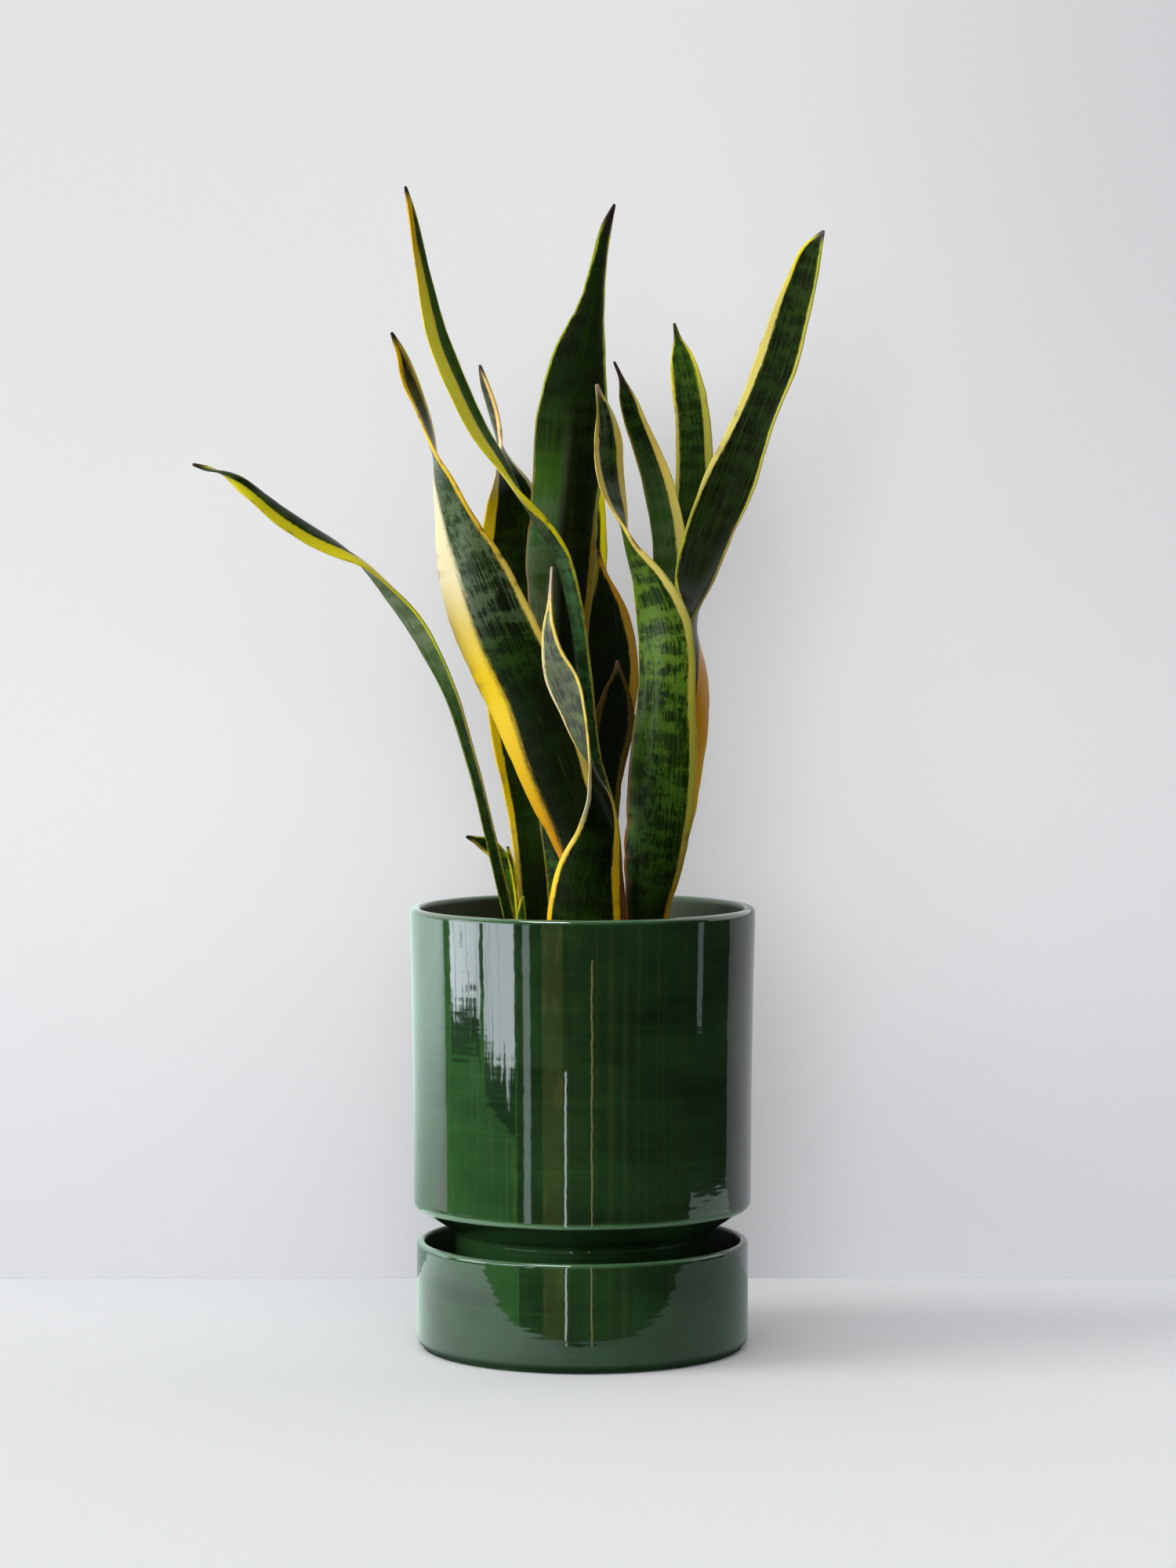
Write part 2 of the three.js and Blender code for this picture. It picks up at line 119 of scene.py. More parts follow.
# How a crumb is cut from a ball, and how it is turned, sunk and kept clear, in millimetres
CRUMB = {
    "cuts": ((0.9, 0.3, 0.2), (-0.7, 0.6, 0.1), (0.1, -0.9, 0.3), (-0.4, -0.5, -0.7), (0.2, 0.3, 0.93)),
    "cut_depth": 0.62,
    "breadth": 0.7,
    "tilt": 0.3,
    "turn": 6.3,
    "stretch": (0.8, 1.2),
    "raised": 0.25,
    "from_wall": 2,
    "beside_leaf": 1,
    "before_leaf": 4.5,
}
# A straight run of a turned outline that is longer gets a point beside each of its arcs
LONG_RUN = 4

CAMERA = {
    "place": (0.0029, -2.235, 0.4116),
    "tilt": 0.053,
    "lens": 99,
    "sensor": 36,
    "near": 0.05,
    "far": 50,
}

# Studio: the wall, the dim room in front and at the sides, how high the cards stand, and small gaps
FAR = 4.0
WALL_Y = 0.205
FRONT_Y = -0.172
FLOOR_FRONT_Y = -0.22
SIDE_X = 0.5
SIDE_FAR = 0.6
CARD_TOP = 0.27
JUST_ABOVE = 0.0002
APART = 0.001


def tone(red, green, blue):
    """A colour given as a screen shows it, made linear."""
    part = [c / 255 for c in (red, green, blue)]
    linear = [c / 12.92 if c <= 0.04045 else ((c + 0.055) / 1.055) ** 2.4 for c in part]
    return (*linear, 1.0)


# Leaf tones
CREAM = tone(240, 230, 186)
BUTTER = tone(242, 214, 96)
PEACH = tone(236, 190, 100)
GOLD = tone(236, 188, 6)
# Gold brightened past its own tone: painted light on margins that the lamps light too little
PAINTED_LIGHT_GOLD = tone(255, 218, 20)
PALE_OLIVE = tone(206, 184, 92)
OLIVE_GOLD = tone(162, 142, 46)
STRAW = tone(226, 212, 112)
STRAW_GREEN = tone(176, 174, 62)
BRONZE = tone(180, 138, 34)
DARK_BRONZE = tone(96, 74, 22)
# Yellow brightened past its own tone: painted light on a margin that faces away from the lamps
PAINTED_LIGHT_YELLOW = tone(254, 244, 16)
SAGE = tone(80, 102, 62)
DARK_MOSS = tone(9, 17, 1)
JADE = tone(60, 106, 52)
DARK_JADE = tone(32, 62, 28)
MOTTLED_SHADE = tone(68, 73, 66)
MOTTLED_GREEN = tone(116, 130, 96)
MOSS_GREEN = tone(90, 124, 34)
# Gold margin as it looks in the shade: painted shade
SHADE_GOLD = tone(150, 128, 30)
AMBER = tone(204, 140, 6)
YELLOW = tone(228, 216, 10)
LIME = tone(160, 176, 20)
OLIVE = tone(126, 118, 26)
RUST = tone(112, 62, 24)
BLACK_GREEN = tone(14, 24, 4)
DEEP_GREEN = tone(25, 44, 8)
BLUE_GREEN = tone(32, 60, 30)
LEAF_GREEN = tone(48, 84, 16)
WARM_GREEN = tone(36, 60, 4)
FRESH_GREEN = tone(70, 108, 24)
GREY_GREEN = tone(92, 112, 76)
# Grey-green of the sheen on a lit leaf face: painted sheen
PAINTED_SHEEN_GREY = tone(84, 96, 66)
SILVER_GREEN = tone(122, 136, 104)
SLATE = tone(66, 68, 66)
DRY_BROWN = tone(118, 88, 54)
DRY_PINK = tone(186, 158, 142)
TIP_DARK = tone(40, 28, 26)

# Glaze, soil and crumb tones
GLAZE_DEEP = tone(19, 40, 19)
GLAZE_BODY = tone(33, 62, 32)
GLAZE_LIGHT = tone(60, 98, 55)
GLAZE_THIN = tone(78, 116, 80)
GLAZE_INSIDE = tone(58, 70, 46)
SOIL_DARK = tone(30, 22, 17)
SOIL_LIGHT = tone(92, 70, 52)
SOIL_DAMP = tone(20, 15, 12)
BARK_DARK = tone(62, 40, 26)
BARK_LIGHT = tone(120, 86, 58)
GRAIN_DARK = tone(176, 172, 160)
GRAIN_LIGHT = tone(226, 222, 212)

# Studio tones
FLOOR_TONE = tone(234, 236, 238)
# Painted shade on the wall: darker low down, at the top right and towards the right
WALL_LOW_SHADE = tone(194, 195, 198)
WALL_HIGH = tone(228, 228, 229)
WALL_CORNER_SHADE = tone(214, 214, 216)
WALL_RIGHT_SHADE = tone(188, 188, 192)
WORLD_SEEN = tone(220, 220, 221)
WORLD_LIGHT = tone(222, 226, 230)
DAYLIGHT = tone(226, 236, 244)
FLOOR_IN_GLOSS = tone(210, 232, 222)
WALL_IN_GLOSS = tone(222, 224, 228)
WALL_GREENISH = tone(212, 238, 228)
ROOM_DARK = tone(24, 26, 18)
ROOM_WARM = tone(92, 84, 44)
ROOM_GREY = tone(30, 31, 30)
GREEN_SIDE = tone(92, 172, 88)
GREY_SIDE = tone(160, 190, 150)
PALE_SIDE = tone(190, 220, 150)
PALE_STRIP = tone(190, 208, 206)
OLIVE_STRIP = tone(124, 118, 62)
SAND_STRIP = tone(176, 164, 96)
GREY_STRIP = tone(190, 200, 210)
WARM_LINE = tone(236, 220, 150)

# Finishes. A noise is its stretch along the three axes, its detail and its roughness. A pair is the
# value from which something shows and the value where it shows fully, and a third number is how much.
# But roughness, line_strength and frayed_by_softness are a factor and an offset, and a bump is its
# strength and distance. A leaf's axes are across it, along it and from leaf to leaf, in millimetres.
LEAF_STREAKS = {
    "Long": ((0.75, 0.022, 1), 2, 0.5),
    "Fine": ((0.8, 0.15, 1), 3, 0.6),
    "Hair": ((2.0, 0.45, 1), 2, 0.6),
}
LEAF_BANDS = {
    "noise": ((0.05, 0.12, 1), 3, 0.55),
    "fray": {"Long": 0.12, "Fine": 0.55, "Hair": 0.42},
    "edge": (0.44, 0.58),
}
LEAF_MARGIN = {
    "fray": {"Long": 1.3, "Fine": 1.4, "Hair": 1.2},
    "frayed_by_softness": (0.5, 0.5),
    "edge": (-0.9, 0.7),
    "beside": (-7.0, -1.0),
    "beside_streaks": (0.58, 0.7),
    "rim": (0.55, 0.15),
    "spot_noise": ((0.3, 0.12, 1), 2, 0.5),
    "spots": (0.52, 0.68),
}
LEAF_FINISH = {
    "beside": 0.5,
    "streak": (0.42, 0.62, 0.3),
    "scratch": (0.7, 0.76, 0.2),
    "pale_hair": (0.35, 0.7, 0.06),
    "rim": 0.8,
    "roughness": (0.14, 0.23),
    "specular": 0.3,
    "bump": (0.35, 0.00025),
}
GLAZE = {
    "lip_noise": ((24, 24, 60), 3, 0.55),
    "lip_uneven": 0.002,
    "line_noise": ((8, 8, 520), 2, 0.5),
    "line_height": 0.000006,
    "waves": (((22, 22, 240), 0.000045), ((80, 80, 150), 0.000075), ((30, 30, 60), 0.00007)),
    "depth_noise": ((16, 16, 34), 3, 0.55),
    "depth": (0.3, 0.7),
    "streak": (0.5, 0.75, 0.14),
    "roughness": (0.04, 0.05),
    "inside_roughness": 0.35,
    "ior": 1.62,
    "coat_roughness": 0.02,
    "coat_ior": 1.5,
}
PANE = {
    "border_noise": ((90, 90, 25), 4, 0.7),
    "border_uneven": 0.09,
    "border": (0.043, 0.047),
    "line_noise": ((26, 26, 5), 1, 0.5),
    "line_width": 0.025,
    "line_strength": (0.6, 0.4),
    "dim": 0.03,
}

# Loose crumb on the soil, sizes in millimetres. A finish is its name, two tones and its grain.
CRUMBS = {
    "bark_chips": {
        "count": 170,
        "sizes": (2.2, 5.2),
        "flatness": 0.42,
        "seed": 21,
        "finish": ("bark_chip", BARK_DARK, BARK_LIGHT, (260, 260, 900)),
    },
    "pale_grains": {
        "count": 120,
        "sizes": (0.9, 1.9),
        "flatness": 0.85,
        "seed": 22,
        "finish": ("pale_grain", GRAIN_DARK, GRAIN_LIGHT, (900, 900, 900)),
    },
}

# Lamps: where each shines from, how strongly, its tone, how wide it looks and what it lights
LAMPS = {
    "window_light": ((-0.88, -0.44, 0.36), 3.1, tone(255, 254, 250), 36, "all_but_backdrop"),
    "backdrop_window_light": ((-0.95, -0.08, 0.42), 2.9, tone(255, 254, 252), 50, "backdrop"),
    "wall_light": ((-0.1, -0.98, 0.2), 1.16, tone(252, 252, 255), 30, "wall_only"),
    "room_light": ((-0.1, -0.7, 0.7), 1.0, tone(255, 254, 250), 90, None),
    "backdrop_light": ((-0.25, -0.8, 0.55), 0.75, tone(248, 250, 254), 70, "backdrop"),
}

# Each leaf: its stations from foot to tip (across, depth, height, width, turn, hollow) and its wave,
# how far the margins swing and how often, are as in the part's source. left and right are the pale
# margins (height, width, tone), and soft is how soft their inner edges are. front and back are the
# two faces (height, dark tone, band tone, how strong the bands are). A fold has a place across and a
# height, and painted_lit_left_face is the front at its left, painted lighter as painted light on the
# half that faces the lamps. tip is the tip's tone and length.
LEAVES = {
    "leaf_far_left": {
        "wave": (0.2, 3),
        "stations": [
            (-29, -20, FOOT, 6, 0, 1), (-37.8, -20, 226, 6.2, -4, 1), (-48.4, -22, 272, 6, -10, 1),
            (-58.2, -24, 311, 6.4, -20, 1.1), (-67.6, -27, 341, 8, -26, 1.4),
            (-75.4, -29, 358, 10.2, -31, 1.7), (-87, -32, 378.5, 13, -42, 2.2),
            (-98.5, -34, 392, 13.8, -61, 2.2), (-113, -37, 406.5, 13, -88, 1.8),
            (-123, -38, 413, 13, -117, 1.4), (-136.5, -40, 420.5, 13.2, -135, 1.2),
            (-153, -43, 431.5, 12.2, -139, 1), (-171, -46, 446, 8.2, -158, 0.6),
            (-182, -48, 453.5, 4, -250, 0.3), (-190, -50, 455.5, 3.2, -318, 0.2),
            (-197, -52, 457.5, BLADE["tip"], -330, 0),
        ],
        "left": [(220, 0.3, LIME), (380, 0.8, GREY_GREEN), (440, 0.6, GREY_GREEN)],
        "right": [
            (220, 0.5, OLIVE), (330, 0.9, OLIVE_GOLD), (360, 1.4, LIME), (395, 3.2, YELLOW),
            (412, 5.6, YELLOW), (446, 3.6, YELLOW),
        ],
        "front": [
            (220, BLACK_GREEN, DEEP_GREEN, 0.4), (330, DEEP_GREEN, LEAF_GREEN, 0.4),
            (350, LEAF_GREEN, SAGE, 0.6), (375, SAGE, SILVER_GREEN, 0.7), (400, SAGE, SILVER_GREEN, 0.7),
        ],
        "back": [(400, BLACK_GREEN, LEAF_GREEN, 0.4)],
        "tip": (TIP_DARK, 10),
    },
    "leaf_broad_left": {
        "wave": (1.1, 4),
        "soft": (3.0, 0.9),
        "stations": [
            (11.5, -16, FOOT, 15, 0, -3.5), (8, -18, 227, 17, -4, -3.5), (-1.8, -20, 266, 28.6, -8, -4),
            (-14, -23, 299, 37, -12, -4), (-28.5, -27, 341, 44, -14, -4),
            (-41.4, -30, 367, 45.6, -17, -4), (-56.5, -35, 405, 38.5, -27, -3.5),
            (-66, -39, 434, 31, -49, -2.5), (-70.5, -42, 452, 27, -67, -2),
            (-74, -44, 465, 21, -92, -1.5), (-81, -47, 485, 14, -121, -1),
            (-87.5, -49, 501, 10.8, -137, -0.8), (-91.7, -51, 514, 5.4, -143, -0.4),
            (-96.3, -53, 524, BLADE["tip"], -148, 0),
        ],
        "left": [
            (225, 2.2, BRONZE), (266, 3.8, AMBER), (299, 6.8, GOLD), (341, 11, PAINTED_LIGHT_GOLD),
            (358, 12.4, PAINTED_LIGHT_GOLD), (378, 13, BUTTER), (405, 13, CREAM), (434, 10, CREAM),
            (465, 4, CREAM), (490, 1.6, BUTTER),
        ],
        "right": [
            (266, 3, BUTTER), (330, 4.2, PALE_OLIVE), (360, 3.6, BUTTER), (390, 2.6, BUTTER),
            (434, 2.4, GOLD), (470, 3, PAINTED_LIGHT_GOLD), (505, 1.8, GOLD),
        ],
        # The grey-green that grows strong up the body is partly the leaf's mottling and partly painted
        # sheen
        "front": [
            (266, BLACK_GREEN, DEEP_GREEN, 0.3), (340, BLACK_GREEN, DEEP_GREEN, 0.4),
            (366, BLACK_GREEN, LEAF_GREEN, 0.6), (385, BLACK_GREEN, GREY_GREEN, 0.6),
            (405, DEEP_GREEN, GREY_GREEN, 0.85), (434, BLUE_GREEN, GREY_GREEN, 1.0),
        ],
        "back": [(434, BLACK_GREEN, SLATE, 0.5)],
        "tip": (TIP_DARK, 9),
    },
    "leaf_tall_left": {
        "wave": (0.3, 4),
        "stations": [
            (19.5, -7, FOOT, 8.5, -10, -2), (18, -9, 226, 9, -30, -2), (14, -11, 278, 9.6, -39, -2),
            (5.5, -14, 311, 10, -43, -2), (1, -17, 351, 11, -48, -2), (-3.5, -21, 384, 12.5, -51, -2),
            (-12.5, -26, 416, 14, -56, -2), (-21.5, -28, 430, 15, -67, -2),
            (-30, -31, 442, 15.6, -88, -1.8), (-40, -34, 457, 16, -112, -1.8),
            (-52, -37, 474, 16, -124, -1.8), (-63, -41, 497, 16, -129, -1.8),
            (-72.5, -45, 520, 15.4, -133, -1.5), (-81, -50, 558, 9, -136, -0.8),
            (-86.5, -54, 587, 4, -138, -0.3), (-89, -55, 597, BLADE["tip"], -139, 0),
        ],
        "left": [(225, 0.4, LIME), (440, 0.6, BUTTER), (560, 0.5, BUTTER)],
        "right": [
            (225, 0.4, OLIVE), (340, 0.3, STRAW_GREEN), (384, 0.3, STRAW_GREEN), (412, 0.7, YELLOW),
            (428, 1.8, YELLOW), (438, 4.6, YELLOW), (450, 8, PAINTED_LIGHT_YELLOW), (474, 10, PAINTED_LIGHT_YELLOW), (530, 8.4, PAINTED_LIGHT_YELLOW),
            (570, 2.6, GOLD),
        ],
        "front": [
            (225, BLACK_GREEN, BLUE_GREEN, 0.6), (275, BLACK_GREEN, BLUE_GREEN, 0.9),
            (310, DARK_JADE, JADE, 0.9), (400, DARK_JADE, JADE, 0.9), (425, DARK_JADE, GREY_GREEN, 0.8),
        ],
        "back": [
            (430, DEEP_GREEN, LEAF_GREEN, 0.6), (470, LEAF_GREEN, FRESH_GREEN, 0.6),
            (550, LEAF_GREEN, FRESH_GREEN, 0.5), (580, DEEP_GREEN, LEAF_GREEN, 0.5),
        ],
        "tip": (TIP_DARK, 8),
    },
    "leaf_back_left": {
        "wave": (0.6, 4),
        "stations": [
            (-22.4, 2, FOOT, 16, 0, 3), (-24, 2, 226, 17.6, 0, 3), (-28.8, 2, 277, 20, 0, 3),
            (-33, 3, 304, 23, 0, 3), (-35.5, 6, 342, 31, 2, 3), (-36.5, 9, 382, 36, 6, 3),
            (-35.8, 11, 415, 35.5, 13, 2.5), (-36.5, 13, 445, 28, 36, 2), (-39.7, 13, 458, 22, 63, 1.6),
            (-42, 13, 469, 16.5, 88, 1.2), (-47, 12, 489, 10, 118, 0.7), (-51.2, 12, 502, 6.4, 128, 0.4),
            (-53.3, 11, 510.5, BLADE["tip"], 132, 0),
        ],
        "left": [
            (225, 2.0, BUTTER), (277, 3.4, PAINTED_LIGHT_GOLD), (342, 5, PAINTED_LIGHT_GOLD), (415, 6.8, PAINTED_LIGHT_GOLD),
            (440, 6, PAINTED_LIGHT_GOLD), (458, 3.2, CREAM), (489, 1.3, PEACH),
        ],
        "right": [(277, 2, OLIVE), (415, 3, GOLD), (458, 2.6, CREAM), (489, 1.4, PEACH)],
        "front": [(225, DEEP_GREEN, WARM_GREEN, 0.6), (440, BLACK_GREEN, WARM_GREEN, 0.6)],
        "back": [(440, BLACK_GREEN, GREY_GREEN, 0.4)],
        "tip": (TIP_DARK, 9),
    },
    "leaf_tall_middle": {
        "wave": (0.5, 4),
        "fold": (-0.17, 2.4),
        "stations": [
            (-7.3, -8, FOOT, 14, 0, -3), (-8.7, -7, 226, 17, 0, -3), (-11, -5, 285, 24, 0, -3.5),
            (-11.8, -3, 334, 28, 2, -4), (-11.8, -1, 375, 31.5, 5, -4), (-11, 2, 415, 37, 8, -4.5),
            (-8, 5, 450, 36.5, 9, -4.5), (-5, 9, 485, 38, 10, -4), (-1, 13, 517, 27, 12, -2.6),
            (4.7, 16, 541, 15, 14, -1.4), (9, 20, 566, 8.6, 18, -0.7), (12.9, 23, 584, 5.4, 20, -0.3),
            (16.8, 25, 594.5, BLADE["tip"], 20, 0),
        ],
        "left": [(225, 0.8, OLIVE), (380, 0.7, DRY_BROWN), (470, 0.6, OLIVE), (500, 0.7, LIME)],
        "right": [
            (225, 2.5, OLIVE), (334, 3.6, SHADE_GOLD), (415, 3.6, SHADE_GOLD), (450, 2, LIME),
            (500, 1.6, LIME), (560, 1, YELLOW),
        ],
        "front": [
            (225, BLACK_GREEN, DEEP_GREEN, 0.3), (420, BLACK_GREEN, DEEP_GREEN, 0.7),
            (480, BLACK_GREEN, WARM_GREEN, 0.45), (530, DEEP_GREEN, WARM_GREEN, 0.4),
        ],
        # The front left of the fold, painted lighter and sheen-grey: painted light on the half that faces
        # the lamps
        "painted_lit_left_face": [
            (225, BLACK_GREEN, LEAF_GREEN, 0.8), (285, BLACK_GREEN, LEAF_GREEN, 0.9),
            (310, PAINTED_SHEEN_GREY, SILVER_GREEN, 0.4), (375, PAINTED_SHEEN_GREY, SILVER_GREEN, 0.4),
            (400, LEAF_GREEN, GREY_GREEN, 0.6), (422, JADE, SILVER_GREEN, 0.4),
            (448, LEAF_GREEN, FRESH_GREEN, 0.35), (472, DEEP_GREEN, LEAF_GREEN, 0.35),
            (495, BLACK_GREEN, DEEP_GREEN, 0.6),
        ],
        "back": [(400, BLACK_GREEN, LEAF_GREEN, 0.5)],
        "tip": (TIP_DARK, 22),
    },
    "leaf_front_short": {
        "wave": (0.5, 3),
        "stations": [
            (0.3, -34, FOOT, 29, 0, -4), (0.5, -36, 227, 37.6, 0, -4.5), (3.8, -38, 253, 31.5, 10, -4),
            (7.5, -40, 269, 25.4, 25, -3.4), (8, -42, 285, 24, 53, -2.5), (4, -44, 301, 23.5, 82, -2),
            (-0.5, -46, 316, 22.5, 109, -1.8), (-4.5, -47.5, 331, 22.5, 128, -1.8),
            (-10.5, -50, 349, 21.8, 140, -1.6), (-14.5, -52, 360, 14.6, 141, -1),
            (-17, -54, 375.5, 7.4, 141, -0.5), (-16.5, -55, 385.5, 3.4, 140, -0.2),
            (-15.3, -58, 406, BLADE["tip"], 140, 0),
        ],
        "left": [
            (225, 2.4, GOLD), (250, 2.0, PAINTED_LIGHT_GOLD), (272, 1.7, BUTTER), (285, 1.6, CREAM),
            (316, 2.0, BUTTER), (349, 1.8, BUTTER), (375, 1.4, BUTTER),
        ],
        "right": [
            (225, 3.2, GOLD), (253, 4.6, GOLD), (285, 4.0, PAINTED_LIGHT_GOLD), (300, 3.0, BUTTER),
            (316, 1.8, BUTTER), (349, 1.6, CREAM), (375, 1.4, BUTTER),
        ],
        "front": [(225, BLACK_GREEN, WARM_GREEN, 0.5), (300, BLACK_GREEN, DEEP_GREEN, 0.5)],
        "back": [(290, MOTTLED_SHADE, GREY_GREEN, 0.8), (350, MOTTLED_SHADE, MOTTLED_GREEN, 0.7)],
        "tip": (DRY_PINK, 24),
    },
    "leaf_front_right": {
        "wave": (0.7, 4),
        "stations": [
            (34, -20, FOOT, 16, 0, -3), (33.2, -22, 227, 22.6, -2, -3.5), (36.7, -24, 254, 30.6, -4, -4),
            (40.7, -27, 294.5, 35.6, -8, -4.5), (42.7, -31, 335, 31.5, -15, -4),
            (42, -35, 375, 30.8, -28, -3.5), (34.8, -38, 397.5, 27, -49, -2.8),
            (25.6, -40, 416, 23.5, -73, -2.2), (22, -41, 428, 22, -94, -2),
            (17.5, -42, 440, 20, -121, -1.8), (14.2, -44, 454, 19.4, -140, -1.8),
            (13, -46, 471, 17.8, -146, -1.5), (11, -47, 484.5, 8.8, -147, -0.7),
            (8.9, -48, 491.5, 4.4, -147, -0.3), (7.3, -49, 498, 1.6, -147, 0),
        ],
        "left": [
            (225, 1.2, RUST), (300, 1.0, RUST), (380, 0.6, LIME), (416, 2.2, BUTTER), (440, 4.2, BUTTER),
            (471, 4.6, BUTTER), (485, 1.4, STRAW),
        ],
        "right": [
            (225, 2, AMBER), (254, 3, OLIVE_GOLD), (300, 3.6, STRAW_GREEN), (360, 3.6, STRAW_GREEN),
            (397, 3.4, STRAW), (430, 3.8, BUTTER), (450, 4.4, BUTTER), (471, 3.2, BUTTER),
            (485, 1.0, OLIVE),
        ],
        "front": [
            (225, BLACK_GREEN, DEEP_GREEN, 0.5), (262, BLACK_GREEN, LEAF_GREEN, 0.6),
            (300, DEEP_GREEN, FRESH_GREEN, 0.85), (370, DEEP_GREEN, MOSS_GREEN, 0.95),
            (400, DEEP_GREEN, MOSS_GREEN, 0.85),
        ],
        "back": [
            (420, MOTTLED_SHADE, GREY_GREEN, 0.35), (436, DEEP_GREEN, GREY_GREEN, 0.35),
            (460, BLACK_GREEN, FRESH_GREEN, 0.5), (480, BLACK_GREEN, GREY_GREEN, 0.5),
        ],
        "tip": (DRY_PINK, 7),
    },
    "leaf_long_right": {
        "wave": (0.4, 4),
        "stations": [
            (34.5, -3, FOOT, 15, 0, -2.8), (36.6, -3, 226, 16.5, 5, -2.8), (48, -3, 277, 20.5, 15, -3),
            (54.8, -3, 334, 25, 26, -2.8), (55.2, -3, 358, 27, 53, -2.4), (55.8, -3, 375, 28, 85, -2.2),
            (56.8, -2, 394, 28.5, 128, -2.8), (63.5, 0, 418, 29, 144, -3.6),
            (76, 4, 449, 29.8, 151, -3.6), (87.8, 8, 479, 26, 148, -2.8), (101.2, 12, 513, 25, 149, -2.4),
            (109, 15, 539, 22, 150, -2), (114, 17, 554, 18.2, 151, -1.4),
            (119.5, 19, 570.5, 11.4, 152, -0.8), (125.7, 21, 580.5, BLADE["tip"], 152, 0),
        ],
        "left": [
            (225, 1, OLIVE), (358, 1, OLIVE), (400, 1.1, OLIVE_GOLD), (440, 1.3, STRAW_GREEN),
            (500, 2.0, STRAW_GREEN), (540, 2.0, STRAW_GREEN), (570, 1.0, LIME),
        ],
        "right": [
            (225, 5, GOLD), (277, 9, GOLD), (330, 11, AMBER), (358, 10, AMBER), (380, 6, GOLD),
            (400, 1.4, LIME), (430, 1.6, STRAW_GREEN), (460, 2.8, STRAW), (485, 4.0, STRAW),
            (520, 4.2, STRAW), (539, 3.4, STRAW), (565, 1.6, YELLOW),
        ],
        "front": [(225, BLACK_GREEN, DEEP_GREEN, 0.3), (350, BLACK_GREEN, DEEP_GREEN, 0.4)],
        "back": [
            (380, DARK_MOSS, DEEP_GREEN, 0.2), (430, DARK_MOSS, WARM_GREEN, 0.25),
            (490, DARK_MOSS, WARM_GREEN, 0.35), (540, BLACK_GREEN, WARM_GREEN, 0.7),
        ],
        "tip": (TIP_DARK, 8),
    },
    "leaf_back_right": {
        "wave": (0.4, 4),
        "stations": [
            (33.6, 12, FOOT, 16, 0, 2.8), (34.4, 13, 225, 17, 0, 2.8), (43.7, 17, 292, 18.4, 0, 2.8),
            (47.6, 22, 354, 19, 0, 2.8), (46.2, 27, 410, 19, 3, 2.5), (43.8, 29, 431, 17.5, 5, 2),
            (39.3, 31, 450, 16, 8, 1.6), (32.3, 34, 470, 13.8, 12, 1.3), (27.2, 36, 483, 12.2, 14, 1),
            (23.7, 38, 494, 9.4, 16, 0.7), (20.6, 40, 504, 3, 18, 0.3),
            (16.5, 42, 513.5, BLADE["tip"], 20, 0),
        ],
        "left": [(225, 0.6, OLIVE), (431, 0.5, OLIVE), (470, 0.8, OLIVE_GOLD), (494, 0.5, OLIVE)],
        "right": [
            (225, 2, OLIVE), (354, 5, BUTTER), (395, 6.2, BUTTER), (431, 5.2, STRAW), (455, 4.0, BUTTER),
            (480, 2.6, BUTTER), (500, 0.8, BUTTER),
        ],
        "front": [
            (225, BLACK_GREEN, DEEP_GREEN, 0.4), (370, DEEP_GREEN, FRESH_GREEN, 0.5),
            (410, LEAF_GREEN, GREY_GREEN, 0.5), (440, LEAF_GREEN, GREY_GREEN, 0.3),
            (475, BLACK_GREEN, LEAF_GREEN, 0.5),
        ],
        "back": [(400, BLACK_GREEN, LEAF_GREEN, 0.5)],
        "tip": (TIP_DARK, 24),
    },
    "leaf_rear_right": {
        "wave": (0.3, 3),
        "stations": [
            (34.6, 26, FOOT, 16, 0, 2.8), (35.6, 27, 223, 16.6, 0, 2.8), (45, 33, 291, 17.5, 0, 2.8),
            (49.5, 40, 353, 18.2, 0, 2.8), (55.5, 48, 415, 19.6, 0, 2.6), (59, 53, 450, 20, -5, 2.4),
            (58, 58, 484.5, 19, -8, 2.2), (56, 61, 501, 17.4, -10, 1.6), (52.5, 64, 517.5, 12, -14, 1),
            (50.4, 66, 527, 4, -16, 0.3), (48.7, 67, 535, BLADE["tip"], -16, 0),
        ],
        "left": [(225, 2, OLIVE), (415, 2.2, STRAW_GREEN), (484, 2.2, STRAW), (515, 0.8, YELLOW)],
        "right": [
            (225, 2, OLIVE), (415, 3, OLIVE_GOLD), (470, 4, STRAW_GREEN), (500, 3.4, STRAW_GREEN),
            (520, 0.8, YELLOW),
        ],
        "front": [
            (225, BLACK_GREEN, DEEP_GREEN, 0.4), (430, DEEP_GREEN, LEAF_GREEN, 0.5),
            (460, DEEP_GREEN, LEAF_GREEN, 0.6), (500, DEEP_GREEN, FRESH_GREEN, 0.5),
        ],
        "back": [(400, BLACK_GREEN, LEAF_GREEN, 0.5)],
        "tip": (DEEP_GREEN, 16),
    },
    "leaf_behind_middle": {
        "wave": (0.5, 3),
        "stations": [
            (7.8, 16, FOOT, 17, 0, 2.8), (7.6, 16, 224, 18, 0, 2.8), (9.6, 19, 292, 20, 0, 2.6),
            (13.8, 21, 327, 26, 0, 2.5), (14.6, 23, 353.5, 30, 0, 2.5), (13.4, 25, 374, 25.4, 0, 2),
            (11.5, 26, 390.5, 15.8, 0, 1.2), (9.9, 27, 401, 7.4, 0, 0.5),
            (8.2, 28, 415, BLADE["tip"], 0, 0),
        ],
        "left": [(225, 2, OLIVE), (390, 2, OLIVE)],
        "right": [(225, 3, OLIVE), (327, 4.6, BRONZE), (374, 4.2, BRONZE), (400, 2, AMBER)],
        "front": [(225, BLACK_GREEN, DEEP_GREEN, 0.3)],
        "back": [(225, BLACK_GREEN, LEAF_GREEN, 0.5)],
        "tip": (TIP_DARK, 8),
    },
